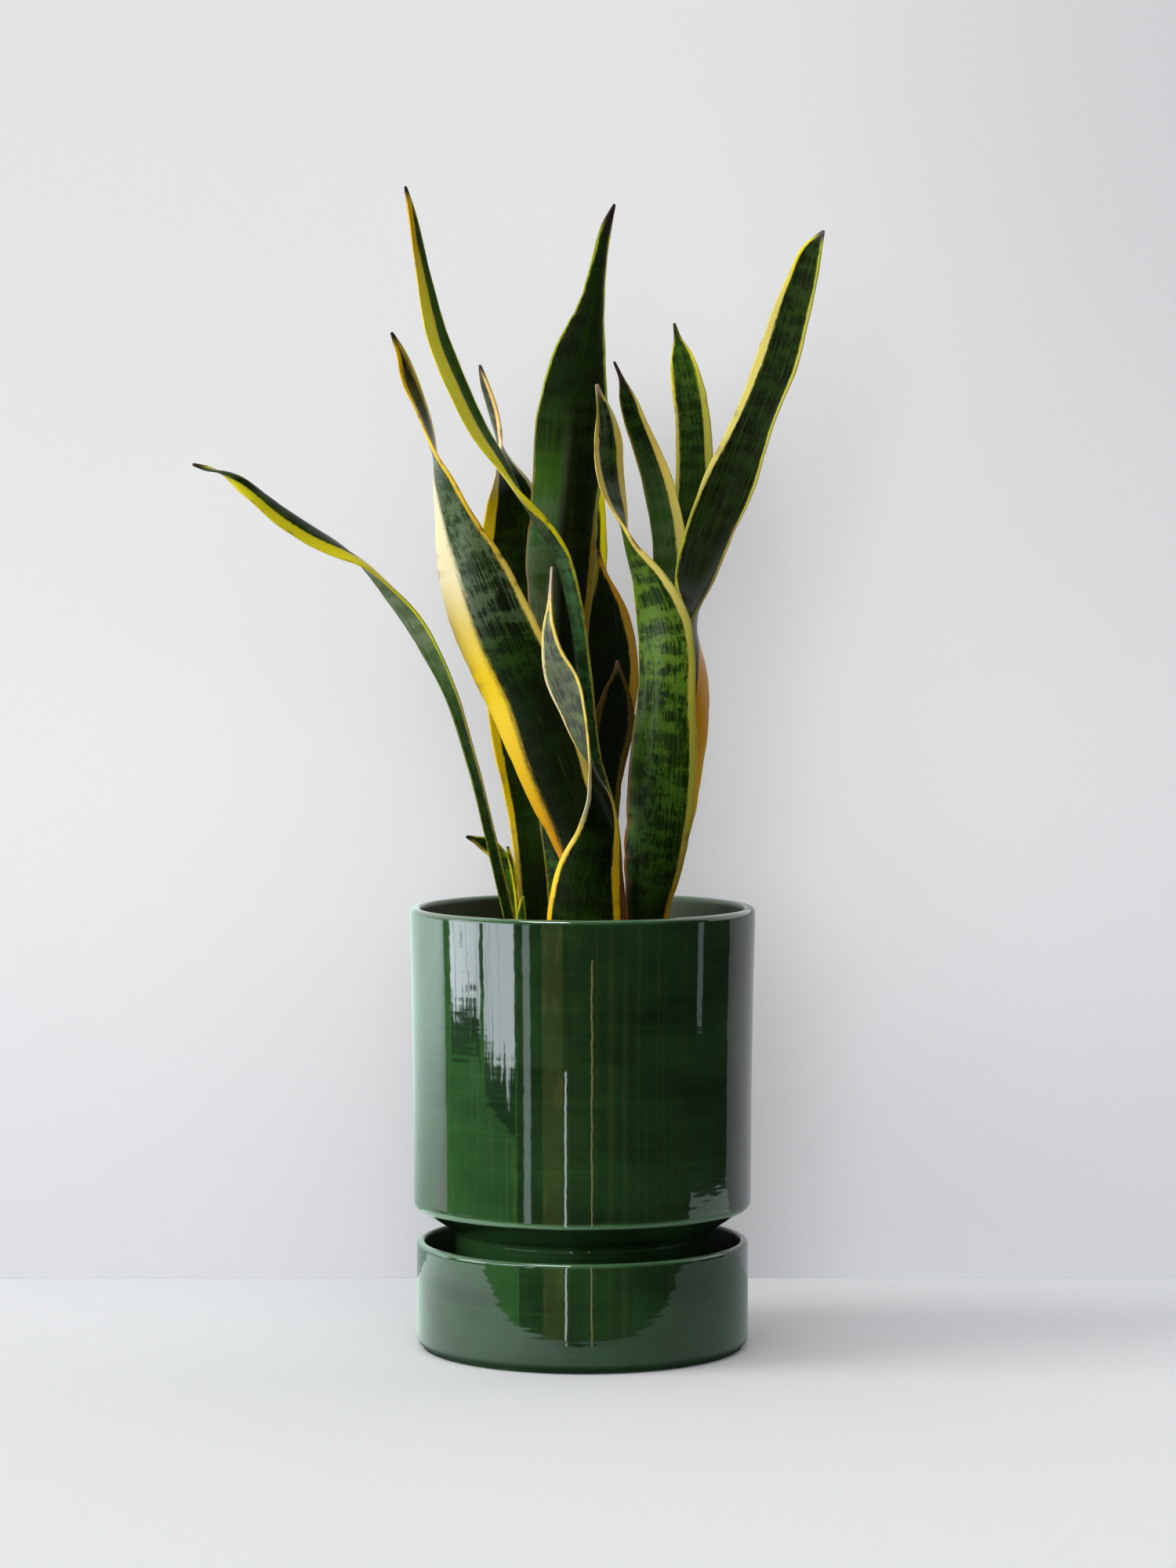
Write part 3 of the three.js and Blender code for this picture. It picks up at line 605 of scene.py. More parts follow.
    "leaf_small_middle": {
        "wave": (0.4, 2),
        "stations": [
            (6.4, 4, FOOT, 13, 0, 2.4), (6.4, 4, 225, 15, 0, 2.5), (10, 6, 270, 16, 0, 2.5),
            (13.3, 8, 305, 19.2, 0, 2.5), (16.6, 9, 327, 21.6, 0, 2), (17.8, 10, 341, 13.6, 0, 1.2),
            (18.4, 10, 350, 5.6, 0, 0.5), (18, 11, 357, BLADE["tip"], 0, 0),
        ],
        "left": [(225, 1, OLIVE), (300, 3, DARK_BRONZE), (327, 4, DARK_BRONZE), (345, 1.6, DARK_BRONZE)],
        "right": [
            (225, 1, OLIVE), (300, 3, DARK_BRONZE), (327, 3.6, DARK_BRONZE), (345, 1.6, DARK_BRONZE),
        ],
        "front": [(225, BLACK_GREEN, DEEP_GREEN, 0.2)],
        "back": [(225, BLACK_GREEN, LEAF_GREEN, 0.4)],
        "tip": (DRY_BROWN, 7),
    },
    "leaf_hidden_back": {
        "wave": (0.3, 2),
        "stations": [
            (-1.6, 29, FOOT, 17, 0, 2.6), (-1.3, 30, 223, 18, 0, 2.6), (-1.5, 34, 280, 19, 0, 2.5),
            (-1, 38, 332, 20.6, 0, 2.5), (1.9, 43, 390, 21, 0, 2), (3.3, 45, 415, 19, 0, 1.6),
            (5.2, 47, 436, 14.4, 0, 1), (7, 49, 448, 8, 0, 0.5), (8.7, 50, 462.5, BLADE["tip"], 0, 0),
        ],
        "left": [(225, 2, OLIVE), (415, 2.6, OLIVE)],
        "right": [(225, 2.4, OLIVE), (415, 3.2, YELLOW)],
        "front": [(225, BLACK_GREEN, DEEP_GREEN, 0.4)],
        "back": [(225, BLACK_GREEN, LEAF_GREEN, 0.5)],
        "tip": (TIP_DARK, 8),
    },
}

# The young side shoot and its sheath
SIDE_SHOOT = {
    "pup_leaf_outer": {
        "wave": (0, 1),
        "stations": [
            (-35, -8, FOOT, 6.4, 0, 1.2), (-36.8, -8, 226, 6.4, 0, 1.2), (-38.8, -8.3, 244, 7, -10, 1.2),
            (-43, -10, 256, 9.4, -24, 1.2), (-49.5, -12, 262.5, 9.4, -30, 1),
            (-55, -15, 265, 4.6, -30, 0.5), (-60, -18, 267, BLADE["tip"], -30, 0),
        ],
        "left": [(225, 0.8, YELLOW), (250, 1.2, YELLOW), (262, 1.6, BUTTER)],
        "right": [(225, 0.8, YELLOW), (250, 1, YELLOW), (262, 0.6, LIME)],
        "front": [(200, DEEP_GREEN, FRESH_GREEN, 0.8)],
        "back": [(200, DEEP_GREEN, LEAF_GREEN, 0.5)],
        "tip": (TIP_DARK, 6),
    },
    "pup_leaf_inner": {
        "wave": (0, 1),
        "stations": [
            (-35.4, -3.2, FOOT, 5.7, 0, 1), (-36, -3.2, 225, 5.7, 0, 1), (-36.5, -3.2, 244, 5, 0, 0.8),
            (-37.5, -3.2, 254, 3.4, 0, 0.5), (-38.8, -3.2, 261, BLADE["tip"], 0, 0),
        ],
        "left": [(225, 0.8, YELLOW)],
        "right": [(225, 0.8, YELLOW)],
        "front": [(200, DEEP_GREEN, FRESH_GREEN, 0.8)],
        "back": [(200, DEEP_GREEN, LEAF_GREEN, 0.5)],
        "tip": (TIP_DARK, 3),
    },
    "pup_sheath": {
        "wave": (0, 1),
        "stations": [
            (-32.5, -13.5, FOOT, 4.6, 0, -0.8), (-31.8, -13.5, 213, 5.2, 0, -1),
            (-31.6, -13.2, 226, 5.2, 0, -0.8), (-31.2, -13, 231, 3.6, 0, -0.4),
            (-30.7, -12.5, 236, BLADE["tip"], 0, 0),
        ],
        "left": [(210, 0.7, YELLOW)],
        "right": [(210, 0.6, YELLOW)],
        "front": [(200, LEAF_GREEN, FRESH_GREEN, 0.8)],
        "back": [(200, DEEP_GREEN, LEAF_GREEN, 0.5)],
        "tip": (LIME, 3),
    },
}

DRY_SHEATH = {
    "wave": (0.3, 3),
    "stations": [
        (21.4, -28, FOOT, 4, 0, -0.4), (20.9, -28, 215, 4, 0, -0.4), (20.4, -28, 235, 3.6, 4, -0.4),
        (19.6, -28.5, 248, 2.6, 8, -0.2), (19, -29, 257.5, BLADE["tip"], 10, 0),
    ],
    "left": [(210, 0.4, RUST)],
    "right": [(210, 0.4, RUST)],
    "front": [(200, RUST, DRY_BROWN, 0.8)],
    "back": [(200, RUST, DRY_BROWN, 0.8)],
    "tip": (DRY_BROWN, 6),
}


def add_new(add, name, **settings):
    """Adds a primitive, a lamp or a camera with nothing else selected, and names it."""
    bpy.ops.object.select_all(action="DESELECT")
    add(**settings)
    made = bpy.context.object
    made.name = name
    made.data.name = name
    return made


# Camera, at the photograph's viewing angle

def add_camera():
    lean = (math.pi / 2 - CAMERA["tilt"], 0, 0)
    camera = add_new(bpy.ops.object.camera_add, "camera", location=CAMERA["place"], rotation=lean)
    camera.data.lens = CAMERA["lens"]
    camera.data.sensor_width = CAMERA["sensor"]
    camera.data.clip_start = CAMERA["near"]
    camera.data.clip_end = CAMERA["far"]
    bpy.context.scene.camera = camera


# Node helpers

def feed(tree, sockets, sources):
    """Gives inputs their values: a number or colour is set, and an output is linked."""
    for key, source in sources.items():
        if isinstance(source, bpy.types.NodeSocket):
            tree.links.new(source, sockets[key])
        else:
            sockets[key].default_value = source


def node(tree, kind, sources=None, **settings):
    """A new node with its settings, and with its named or numbered inputs fed."""
    made = tree.nodes.new(kind)
    for key, value in settings.items():
        setattr(made, key, value)
    feed(tree, made.inputs, sources or {})
    return made


def maths(tree, operation, first, second=0.0, third=0.0):
    sources = {0: first, 1: second, 2: third}
    return node(tree, "ShaderNodeMath", sources, operation=operation).outputs[0]


def times(tree, first, second):
    return maths(tree, "MULTIPLY", first, second)


def scaled(tree, value, factor, offset):
    """The value times a factor, and an offset added."""
    return maths(tree, "MULTIPLY_ADD", value, factor, offset)


def centred(tree, value):
    """Noise between 0 and 1, moved to lie evenly about 0."""
    return maths(tree, "SUBTRACT", value, 0.5)


def ease(tree, value, low, high):
    """A smooth rise from 0 at low to 1 at high."""
    sources = {"Value": value, "From Min": low, "From Max": high}
    return node(tree, "ShaderNodeMapRange", sources, interpolation_type="SMOOTHSTEP").outputs["Result"]


def blend_colours(tree, share, first, second):
    sources = {"Factor": share, "A": first, "B": second}
    return node(tree, "ShaderNodeMix", sources, data_type="RGBA").outputs["Result"]


def tint(tree, colour, over, value, low, high, amount):
    """A colour with another over it: none of it where the value is low, the amount where it is high."""
    return blend_colours(tree, times(tree, ease(tree, value, low, high), amount), colour, over)


def stretched_noise(tree, place, stretch, detail, rough):
    """Noise on a place whose axes are stretched by the three factors."""
    stretched = node(tree, "ShaderNodeMapping", {"Vector": place, "Scale": stretch}).outputs[0]
    sources = {"Vector": stretched, "Scale": 1.0, "Detail": detail, "Roughness": rough}
    return node(tree, "ShaderNodeTexNoise", sources).outputs[0]


def attribute(tree, name, output="Fac"):
    return node(tree, "ShaderNodeAttribute", attribute_name=name).outputs[output]


def object_place(tree):
    return node(tree, "ShaderNodeTexCoord").outputs["Object"]


def parts(tree, vector):
    """The three parts of a vector. A place gives across, depth and height."""
    return node(tree, "ShaderNodeSeparateXYZ", {0: vector}).outputs


def from_axis(tree, across, depth):
    """How far a point lies from the object's upright axis."""
    return maths(tree, "SQRT", scaled(tree, across, across, times(tree, depth, depth)))


def bumped(tree, height, strength, distance):
    sources = {"Strength": strength, "Distance": distance, "Height": height}
    return node(tree, "ShaderNodeBump", sources).outputs[0]


def new_group(name, inputs, outputs):
    """A node group in which Place is a vector, and every other input and output is a number."""
    group = bpy.data.node_groups.new(name, "ShaderNodeTree")
    for side, labels in (("INPUT", inputs), ("OUTPUT", outputs)):
        for label in labels:
            kind = "NodeSocketVector" if label == "Place" else "NodeSocketFloat"
            group.interface.new_socket(name=label, in_out=side, socket_type=kind)
    return group, node(group, "NodeGroupInput").outputs, node(group, "NodeGroupOutput").inputs


def use_group(tree, group, **sources):
    return node(tree, "ShaderNodeGroup", sources, node_tree=group).outputs


def new_material(name):
    material = bpy.data.materials.new(name)
    material.use_nodes = True
    tree = material.node_tree
    return material, tree, tree.nodes["Principled BSDF"].inputs


# Leaf finish

def leaf_streaks_group():
    """Lengthwise streaks: long ones, fine ones that fray an outline, and short hair-thin ones."""
    group, taken, given = new_group("leaf_streaks", ("Place",), LEAF_STREAKS)
    for line, streak_noise in LEAF_STREAKS.items():
        feed(group, given, {line: stretched_noise(group, taken["Place"], *streak_noise)})
    return group


def leaf_bands_group(streaks):
    """Wavy cross-bands of a snake plant, broken up by the lengthwise streaks."""
    group, taken, given = new_group("leaf_bands", ("Place", "Strength"), ("Bands",))
    lines = use_group(group, streaks, Place=taken["Place"])
    total = stretched_noise(group, taken["Place"], *LEAF_BANDS["noise"])
    for line, share in LEAF_BANDS["fray"].items():
        total = scaled(group, centred(group, lines[line]), share, total)
    feed(group, given, {"Bands": times(group, ease(group, total, *LEAF_BANDS["edge"]), taken["Strength"])})
    return group


def leaf_margin_group(streaks):
    """How much of a place lies in the pale margin: Depth is how far inside it lies, in millimetres."""
    group, taken, given = new_group(
        "leaf_margin", ("Place", "Depth", "Soft", "Edge", "Nick"), ("Margin", "Rim", "Beside")
    )
    lines = use_group(group, streaks, Place=taken["Place"])
    depth = taken["Depth"]
    frayed = scaled(group, taken["Soft"], *LEAF_MARGIN["frayed_by_softness"])
    for line, share in LEAF_MARGIN["fray"].items():
        depth = scaled(group, times(group, centred(group, lines[line]), share), frayed, depth)
    depth = maths(group, "DIVIDE", depth, taken["Soft"])
    beside = ease(group, taken["Depth"], *LEAF_MARGIN["beside"])
    streaked = ease(group, lines["Long"], *LEAF_MARGIN["beside_streaks"])
    spots = stretched_noise(group, taken["Place"], *LEAF_MARGIN["spot_noise"])
    near = ease(group, taken["Edge"], *LEAF_MARGIN["rim"])
    worn = times(group, near, ease(group, spots, *LEAF_MARGIN["spots"]))
    feed(group, given, {
        "Margin": ease(group, depth, *LEAF_MARGIN["edge"]),
        "Rim": maths(group, "MAXIMUM", worn, taken["Nick"]),
        "Beside": times(group, streaked, beside),
    })
    return group


def leaf_material(name, bands, margin, streaks):
    material, tree, shader = new_material(name)
    place = attribute(tree, "leaf_place", "Vector")
    margin_depth, from_edge, nick = parts(tree, attribute(tree, "leaf_measures", "Vector"))
    band = use_group(tree, bands, Place=place, Strength=attribute(tree, "leaf_band_strength"))["Bands"]
    edge = use_group(tree, margin, Place=place, Depth=margin_depth, Edge=from_edge, Nick=nick,
                     Soft=attribute(tree, "leaf_softness"))
    lines = use_group(tree, streaks, Place=place)
    light = attribute(tree, "leaf_light", "Color")
    body = blend_colours(tree, band, attribute(tree, "leaf_dark", "Color"), light)
    body = blend_colours(tree, times(tree, edge["Beside"], LEAF_FINISH["beside"]), body, light)
    body = tint(tree, body, light, lines["Long"], *LEAF_FINISH["streak"])
    body = tint(tree, body, GREY_GREEN, lines["Long"], *LEAF_FINISH["scratch"])
    pale = attribute(tree, "leaf_margin_tone", "Color")
    pale = tint(tree, pale, BUTTER, lines["Hair"], *LEAF_FINISH["pale_hair"])
    colour = blend_colours(tree, edge["Margin"], body, pale)
    colour = blend_colours(tree, times(tree, edge["Rim"], LEAF_FINISH["rim"]), colour, RUST)
    ridges = scaled(tree, lines["Hair"], 0.5, lines["Fine"])
    feed(tree, shader, {
        "Base Color": colour,
        "Roughness": scaled(tree, lines["Fine"], *LEAF_FINISH["roughness"]),
        "Specular IOR Level": LEAF_FINISH["specular"],
        "Normal": bumped(tree, ridges, *LEAF_FINISH["bump"]),
    })
    return material


# Leaf shape

def along_leaf(stations, lengths_at):
    """Values and slopes of a leaf's smooth line through its stations, at shares of its length."""
    rows = np.array(stations, float)
    steps = np.linalg.norm(np.diff(rows[:, :3], axis=0), axis=1)
    lengths = np.concatenate([[0.0], np.cumsum(steps)])
    rise = np.diff(rows, axis=0) / steps[:, None]
    inner = (rise[:-1] * steps[1:, None] + rise[1:] * steps[:-1, None]) / (steps[:-1] + steps[1:])[:, None]
    slopes = np.vstack([rise[:1], inner, rise[-1:]])
    at = lengths_at * lengths[-1]
    i = np.clip(np.searchsorted(lengths, at, side="right") - 1, 0, len(steps) - 1)
    span = steps[i][:, None]
    t = (at - lengths[i])[:, None] / span
    a, b, m0, m1 = rows[i], rows[i + 1], slopes[i] * span, slopes[i + 1] * span
    values = (2 * t**3 - 3 * t**2 + 1) * a + (t**3 - 2 * t**2 + t) * m0
    values += (3 * t**2 - 2 * t**3) * b + (t**3 - t**2) * m1
    along = (6 * t**2 - 6 * t) * (a - b) + (3 * t**2 - 4 * t + 1) * m0 + (3 * t**2 - 2 * t) * m1
    return values, (along / span)[:, :3], lengths[-1]


def unit(vectors):
    return vectors / np.linalg.norm(vectors, axis=1)[:, None]


def smoothed(values, low, high):
    """A smooth rise from 0 at low to 1 at high."""
    t = np.clip((values - low) / (high - low), 0, 1)
    return t * t * (3 - 2 * t)


def nicks_along(rng, at, length):
    """Small nicks in a margin: their depth in millimetres at each place along it."""
    depth = np.zeros_like(at)
    for _ in range(int(length * NICK["per_metre"] / 1000)):
        middle = rng.uniform(*NICK["along"]) * length
        size = rng.uniform(*NICK["length"])
        depth += rng.uniform(*NICK["depth"]) * np.exp(-(((at - middle) / size) ** 2))
    return np.minimum(depth, NICK["deepest"])


def uneven_along(rng, at):
    """A slow unevenness of a margin in millimetres."""
    total = np.zeros_like(at)
    for size in UNEVEN["lengths"]:
        total += UNEVEN["share"] * size * np.sin(2 * math.pi * (at / size + rng.random()))
    return total


def stops(rows, heights, column):
    """A value or tone that changes along a leaf, read from rows that start with a height."""
    at = [row[0] for row in rows]
    values = np.array([row[column] for row in rows], float).reshape(len(rows), -1)
    return np.stack([np.interp(heights, at, values[:, k]) for k in range(values.shape[1])], axis=1)


def toward(tones, end, share):
    """Tones moved towards another tone by a share at each point."""
    return tones * (1 - share) + np.array(end)[None, :] * share


def add_slab(name, across, along):
    """A thin slab from (-1, -1, 0) to (1, 1, 1), cut into squares, as a leaf is before it is shaped."""
    squares = {"x_subdivisions": across, "y_subdivisions": along}
    slab = add_new(bpy.ops.mesh.primitive_grid_add, name, size=2, calc_uvs=False, **squares)
    bpy.ops.object.mode_set(mode="EDIT")
    bpy.ops.mesh.select_all(action="SELECT")
    bpy.ops.mesh.extrude_region_move(TRANSFORM_OT_translate={"value": (0, 0, 1)})
    bpy.ops.mesh.select_all(action="SELECT")
    bpy.ops.mesh.normals_make_consistent(inside=False)
    bpy.ops.object.mode_set(mode="OBJECT")
    return slab


def set_attributes(mesh, **fields):
    """Numbers, places or tones kept at each point of a mesh."""
    kinds = {1: ("FLOAT", "value"), 3: ("FLOAT_VECTOR", "vector"), 4: ("FLOAT_COLOR", "color")}
    for name, values in fields.items():
        kind, part = kinds[values.size // len(values)]
        made = mesh.attributes.new(name, kind, "POINT")
        made.data.foreach_set(part, np.ascontiguousarray(values, dtype=np.float32).ravel())


def leaf_points(leaf, v, share, side, rng):
    """Where a slab's points lie on the leaf, how wide it is there, and how far a nick is worn in.

    v runs from -1 to 1 across the leaf, share from 0 to 1 along it, and side is 1 on its front.
    """
    values, slopes, length = along_leaf(leaf["stations"], share)
    width = np.maximum(values[:, 3], BLADE["tip"])
    turn = np.radians(values[:, 4])
    along = unit(slopes)
    level = unit(np.cross(np.array([0.0, 1.0, 0.0]), along))
    across = level * np.cos(turn)[:, None] + np.cross(along, level) * np.sin(turn)[:, None]
    face = unit(np.cross(across, along))

    thicker_foot = BLADE["foot_thickness"] - BLADE["upper_thickness"]
    middle = BLADE["upper_thickness"] + thicker_foot * (1 - share) ** 2
    middle = np.minimum(middle, BLADE["least_middle"] + BLADE["middle_by_width"] * width)
    edge = np.minimum(BLADE["edge"], BLADE["least_edge"] + BLADE["edge_by_width"] * width)
    half = 0.5 * (edge + (middle - edge) * (1 - v**2))

    swing, waves = leaf["wave"]
    swing = swing * np.minimum(1, width / BLADE["full_swing_width"])
    lift = swing * v**2 * np.sin(2 * math.pi * waves * share + BLADE["margin_lead"] * v)
    lift -= values[:, 5] * (1 - v**2)
    if "fold" in leaf:
        fold = np.sqrt(FOLD["rise"]) - np.sqrt((v - leaf["fold"][0]) ** 2 + FOLD["roundness"])
        lift += leaf["fold"][1] * smoothed(share, *FOLD["starts"]) * fold * width / FOLD["full_width"]

    at = share * length
    nick = np.zeros_like(at)
    reach = 0.5 * width
    for margin in (-1, 1):
        near = np.clip(margin * v, 0, 1) ** 8
        deep = nicks_along(rng, at, length) * np.minimum(1, width / NICK["full_width"])
        nick = np.maximum(nick, near * smoothed(deep, *NICK["worn"]))
        uneven = uneven_along(rng, at) * np.minimum(1, width / UNEVEN["full_width"])
        reach = reach + near * (uneven - deep)
    points = values[:, :3] + across * (v * reach)[:, None] + face * (lift + side * half)[:, None]
    return points, values[:, 2], width, nick


def leaf_tones(leaf, v, side, heights, to_tip):
    """The dark tone, the band tone and the strength of the bands at each point, and the margins' tone."""
    # The front left of a fold is painted lighter: painted light
    painted_lit_half = (v < leaf["fold"][0])[:, None] if "fold" in leaf else False
    front, back = leaf["front"], leaf["back"]
    dark, light, bands = (
        np.where(
            (side > 0)[:, None],
            np.where(painted_lit_half, stops(leaf.get("painted_lit_left_face", front), heights, k), stops(front, heights, k)),
            stops(back, heights, k),
        )
        for k in (1, 2, 3)
    )
    # A pale line along the fold's ridge, tinted toward silver-green: a painted highlight
    if "fold" in leaf:
        painted_fold_highlight = np.exp(-(((v - leaf["fold"][0]) / FOLD["painted_highlight_width"]) ** 2))
        painted_fold_highlight = painted_fold_highlight * smoothed(heights, *FOLD["painted_highlight_from"]) * smoothed(heights, *FOLD["painted_highlight_to"])
        share = (FOLD["painted_highlight_strength"] * painted_fold_highlight)[:, None]
        dark, light = (toward(x, SILVER_GREEN, share) for x in (dark, light))
    margins = np.where((v < 0)[:, None], stops(leaf["left"], heights, 2), stops(leaf["right"], heights, 2))
    tip_tone, tip_length = leaf["tip"]
    dried = smoothed(to_tip, tip_length, FULLY_DRIED * tip_length)[:, None]
    dark, light, margins = (toward(x, tip_tone, dried) for x in (dark, light, margins))
    return dark, light, bands, margins


def make_leaf(name, leaf, number, material):
    """A leaf: a slab laid along its stations, with what its finish reads kept at its points."""
    rng = random.Random(LEAF_SEED + number)
    _, _, length = along_leaf(leaf["stations"], np.array([0.0]))
    blade = add_slab(name, ACROSS, max(LEAST_ROWS, math.ceil(length / STEP)))
    mesh = blade.data
    flat = np.empty(len(mesh.vertices) * 3)
    mesh.vertices.foreach_get("co", flat)
    v, share, front = flat.reshape(-1, 3).T
    share = (share + 1) / 2
    side = np.where(front > 0.5, 1.0, -1.0)
    points, heights, width, nick = leaf_points(leaf, v, share, side, rng)
    mesh.vertices.foreach_set("co", (points * MM).ravel())

    at = share * length
    dark, light, bands, margins = leaf_tones(leaf, v, side, heights, length - at)
    from_left = (1 + v) * 0.5 * width
    from_right = (1 - v) * 0.5 * width
    left_depth = stops(leaf["left"], heights, 1)[:, 0] - from_left
    right_depth = stops(leaf["right"], heights, 1)[:, 0] - from_right
    margin_depth = np.maximum(left_depth, right_depth)
    soft_left, soft_right = leaf.get("soft", SOFTNESS)
    set_attributes(
        mesh,
        leaf_place=np.stack([v * 0.5 * width, at, LEAF_APART * number + FACE_APART * side], axis=1),
        leaf_measures=np.stack([margin_depth, np.minimum(from_left, from_right), nick], axis=1),
        leaf_margin_tone=margins,
        leaf_dark=dark,
        leaf_light=light,
        leaf_band_strength=bands,
        leaf_softness=np.where(v < 0, soft_left, soft_right),
    )
    mesh.update()
    subdivide(blade, 1)
    finish_piece(blade, material, name.replace("_blade", ""))


def subdivide(piece, levels):
    bpy.ops.object.select_all(action="DESELECT")
    piece.select_set(True)
    bpy.context.view_layer.objects.active = piece
    bpy.ops.object.modifier_add(type="SUBSURF")
    piece.modifiers[-1].levels = levels
    piece.modifiers[-1].render_levels = levels
    bpy.ops.object.modifier_apply(modifier=piece.modifiers[-1].name)
    bpy.ops.object.shade_smooth()


def finish_piece(piece, material, node_name=None):
    """Gives a piece its material and its body, and hides the imported part that it stands for."""
    piece.data.materials.clear()
    piece.data.materials.append(material)
    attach(piece, ROOT)
    if node_name:
        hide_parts(node_name)


# Turned pieces: pot, saucer and soil

def direction(vector):
    return unit(vector[None, :])[0]


def rounded(corners, points=7):
    """An outline through (radius, height, round) corners, each rounded by an arc of that radius."""
    outline, arc_ends = [], set()
    for k, (r, z, rounding) in enumerate(corners):
        here = np.array([r, z])
        if rounding == 0:
            outline.append(here)
            continue
        before = direction(np.array(corners[k - 1][:2]) - here)
        after = direction(np.array(corners[(k + 1) % len(corners)][:2]) - here)
        half_angle = math.acos(float(np.clip(before @ after, -1, 1))) / 2
        middle = here + direction(before + after) * rounding / math.sin(half_angle)
        start = here + before * rounding / math.tan(half_angle)
        end = here + after * rounding / math.tan(half_angle)
        a = math.atan2(*(start - middle)[::-1])
        b = math.atan2(*(end - middle)[::-1])
        turn = (b - a + math.pi) % (2 * math.pi) - math.pi
        arc_ends |= {len(outline), len(outline) + points - 1}
        for i in range(points):
            angle = a + turn * i / (points - 1)
            outline.append(middle + rounding * np.array([math.cos(angle), math.sin(angle)]))
    return straightened(outline, arc_ends)


def straightened(outline, arc_ends):
    """Adds a point just beyond each arc on a long straight run, so that the run is shaded straight."""
    full = []
    for k, point in enumerate(outline):
        full.append(point)
        following = (k + 1) % len(outline)
        run = outline[following] - point
        step = 0.5 * run / max(np.linalg.norm(run), 0.001)
        if np.linalg.norm(run) > LONG_RUN:
            full += [point + step] if k in arc_ends else []
            full += [outline[following] - step] if following in arc_ends else []
    return full


def turn_outline(name, outline, closed, turns=TURNS):
    """A ring of points moved onto an outline and spun round the Z axis."""
    piece = add_new(bpy.ops.mesh.primitive_circle_add, name, vertices=len(outline), radius=0.01)
    for vertex, (r, z) in zip(piece.data.vertices, outline):
        vertex.co = (r * MM, 0, z * MM)
    bpy.ops.object.mode_set(mode="EDIT")
    bpy.ops.mesh.select_mode(type="EDGE")
    if not closed:
        bpy.ops.mesh.select_all(action="DESELECT")
        bpy.ops.object.mode_set(mode="OBJECT")
        last = len(outline) - 1
        for edge in piece.data.edges:
            edge.select = set(edge.vertices) == {0, last}
        bpy.ops.object.mode_set(mode="EDIT")
        bpy.ops.mesh.delete(type="EDGE_FACE")
    bpy.ops.mesh.select_all(action="SELECT")
    bpy.ops.mesh.spin(steps=turns, angle=2 * math.pi, center=(0, 0, 0), axis=(0, 0, 1))
    bpy.ops.mesh.select_all(action="SELECT")
    bpy.ops.mesh.remove_doubles(threshold=0.00001)
    bpy.ops.mesh.normals_make_consistent(inside=False)
    bpy.ops.object.mode_set(mode="OBJECT")
    bpy.ops.object.shade_smooth_by_angle(angle=math.radians(40))
    return piece


def saucer_outline():
    radius, height, floor = SAUCER["radius"], SAUCER["height"], SAUCER["floor"]
    inner = radius - SAUCER["wall"]
    return rounded([
        (0, 0.6, 0),
        (SAUCER["foot"] - 4, 0.6, 0.3),
        (SAUCER["foot"] - 3, 0, 0.3),
        (SAUCER["foot"], 0, 0.5),
        (SAUCER["foot"] + 0.5, 1.6, 0.4),
        (radius, 3.2, 3.6),
        (radius, height, 2.4),
        (inner, height, 1.6),
        (inner - 0.2, floor, 6),
        (0, floor, 0),
    ])


def pot_lining():
    """Corners of the pot's inside, from the drain hole to the rim."""
    bottom = SAUCER["floor"] + GAP + POT["floor"]
    inner = POT["body"] - POT["wall"]
    neck = POT["neck"] - POT["wall"]
    return [
        (POT["drain"], bottom, 0.8),
        (neck, bottom, 3),
        (neck, POT["neck_top"] + 3.8, 3),
        (inner, POT["body_bottom"] + 1, 4),
        (POT["rim"] - POT["wall"], POT["height"], 2.6),
    ]


def pot_outline():
    bottom = SAUCER["floor"] + GAP
    outside = [
        (POT["drain"], bottom, 0.8),
        (POT["neck"], bottom, 1.5),
        (POT["neck"], POT["neck_top"] + 1.2, 3),
        (POT["body"], POT["body_bottom"] - 1.8, 3.4),
        (POT["body"] + 0.4, 140, 0),
        (POT["body"] + 1.2, 190, 0),
        (POT["rim"], POT["height"] - 8, 0),
        (POT["rim"], POT["height"], 2.8),
    ]
    return rounded([*outside, *pot_lining()[::-1]])


def soil_outline():
    inside = [(r - GAP, z + GAP, 0) for r, z, _ in pot_lining()[1:4]]
    rim = [(SOIL_RADIUS * share, soil_height(share), 0) for share in np.linspace(1, 0, SOIL_RINGS)]
    return rounded([(0, inside[0][1], 0), *inside, *rim])


def soil_height(share):
    """Height of the soil at a share of the way from the middle to the pot's wall."""
    return SOIL["edge"] + SOIL["mound"] * (1 - share**2)


# Glaze: a deep translucent green that is paler where it thins out over an edge

def glaze_thinning_group(name, lips):
    """How thin the glaze is: full on each lip, given as (height, reach) in metres."""
    group, taken, given = new_group(name, ("Place",), ("Thin",))
    _, _, height = parts(group, taken["Place"])
    ragged = stretched_noise(group, taken["Place"], *GLAZE["lip_noise"])
    level = maths(group, "ADD", height, times(group, centred(group, ragged), GLAZE["lip_uneven"]))
    total = 0.0
    for lip, reach in lips:
        away = maths(group, "ABSOLUTE", maths(group, "SUBTRACT", level, lip))
        total = maths(group, "MAXIMUM", total, ease(group, away, reach, 0.0))
    feed(group, given, {"Thin": total})
    return group


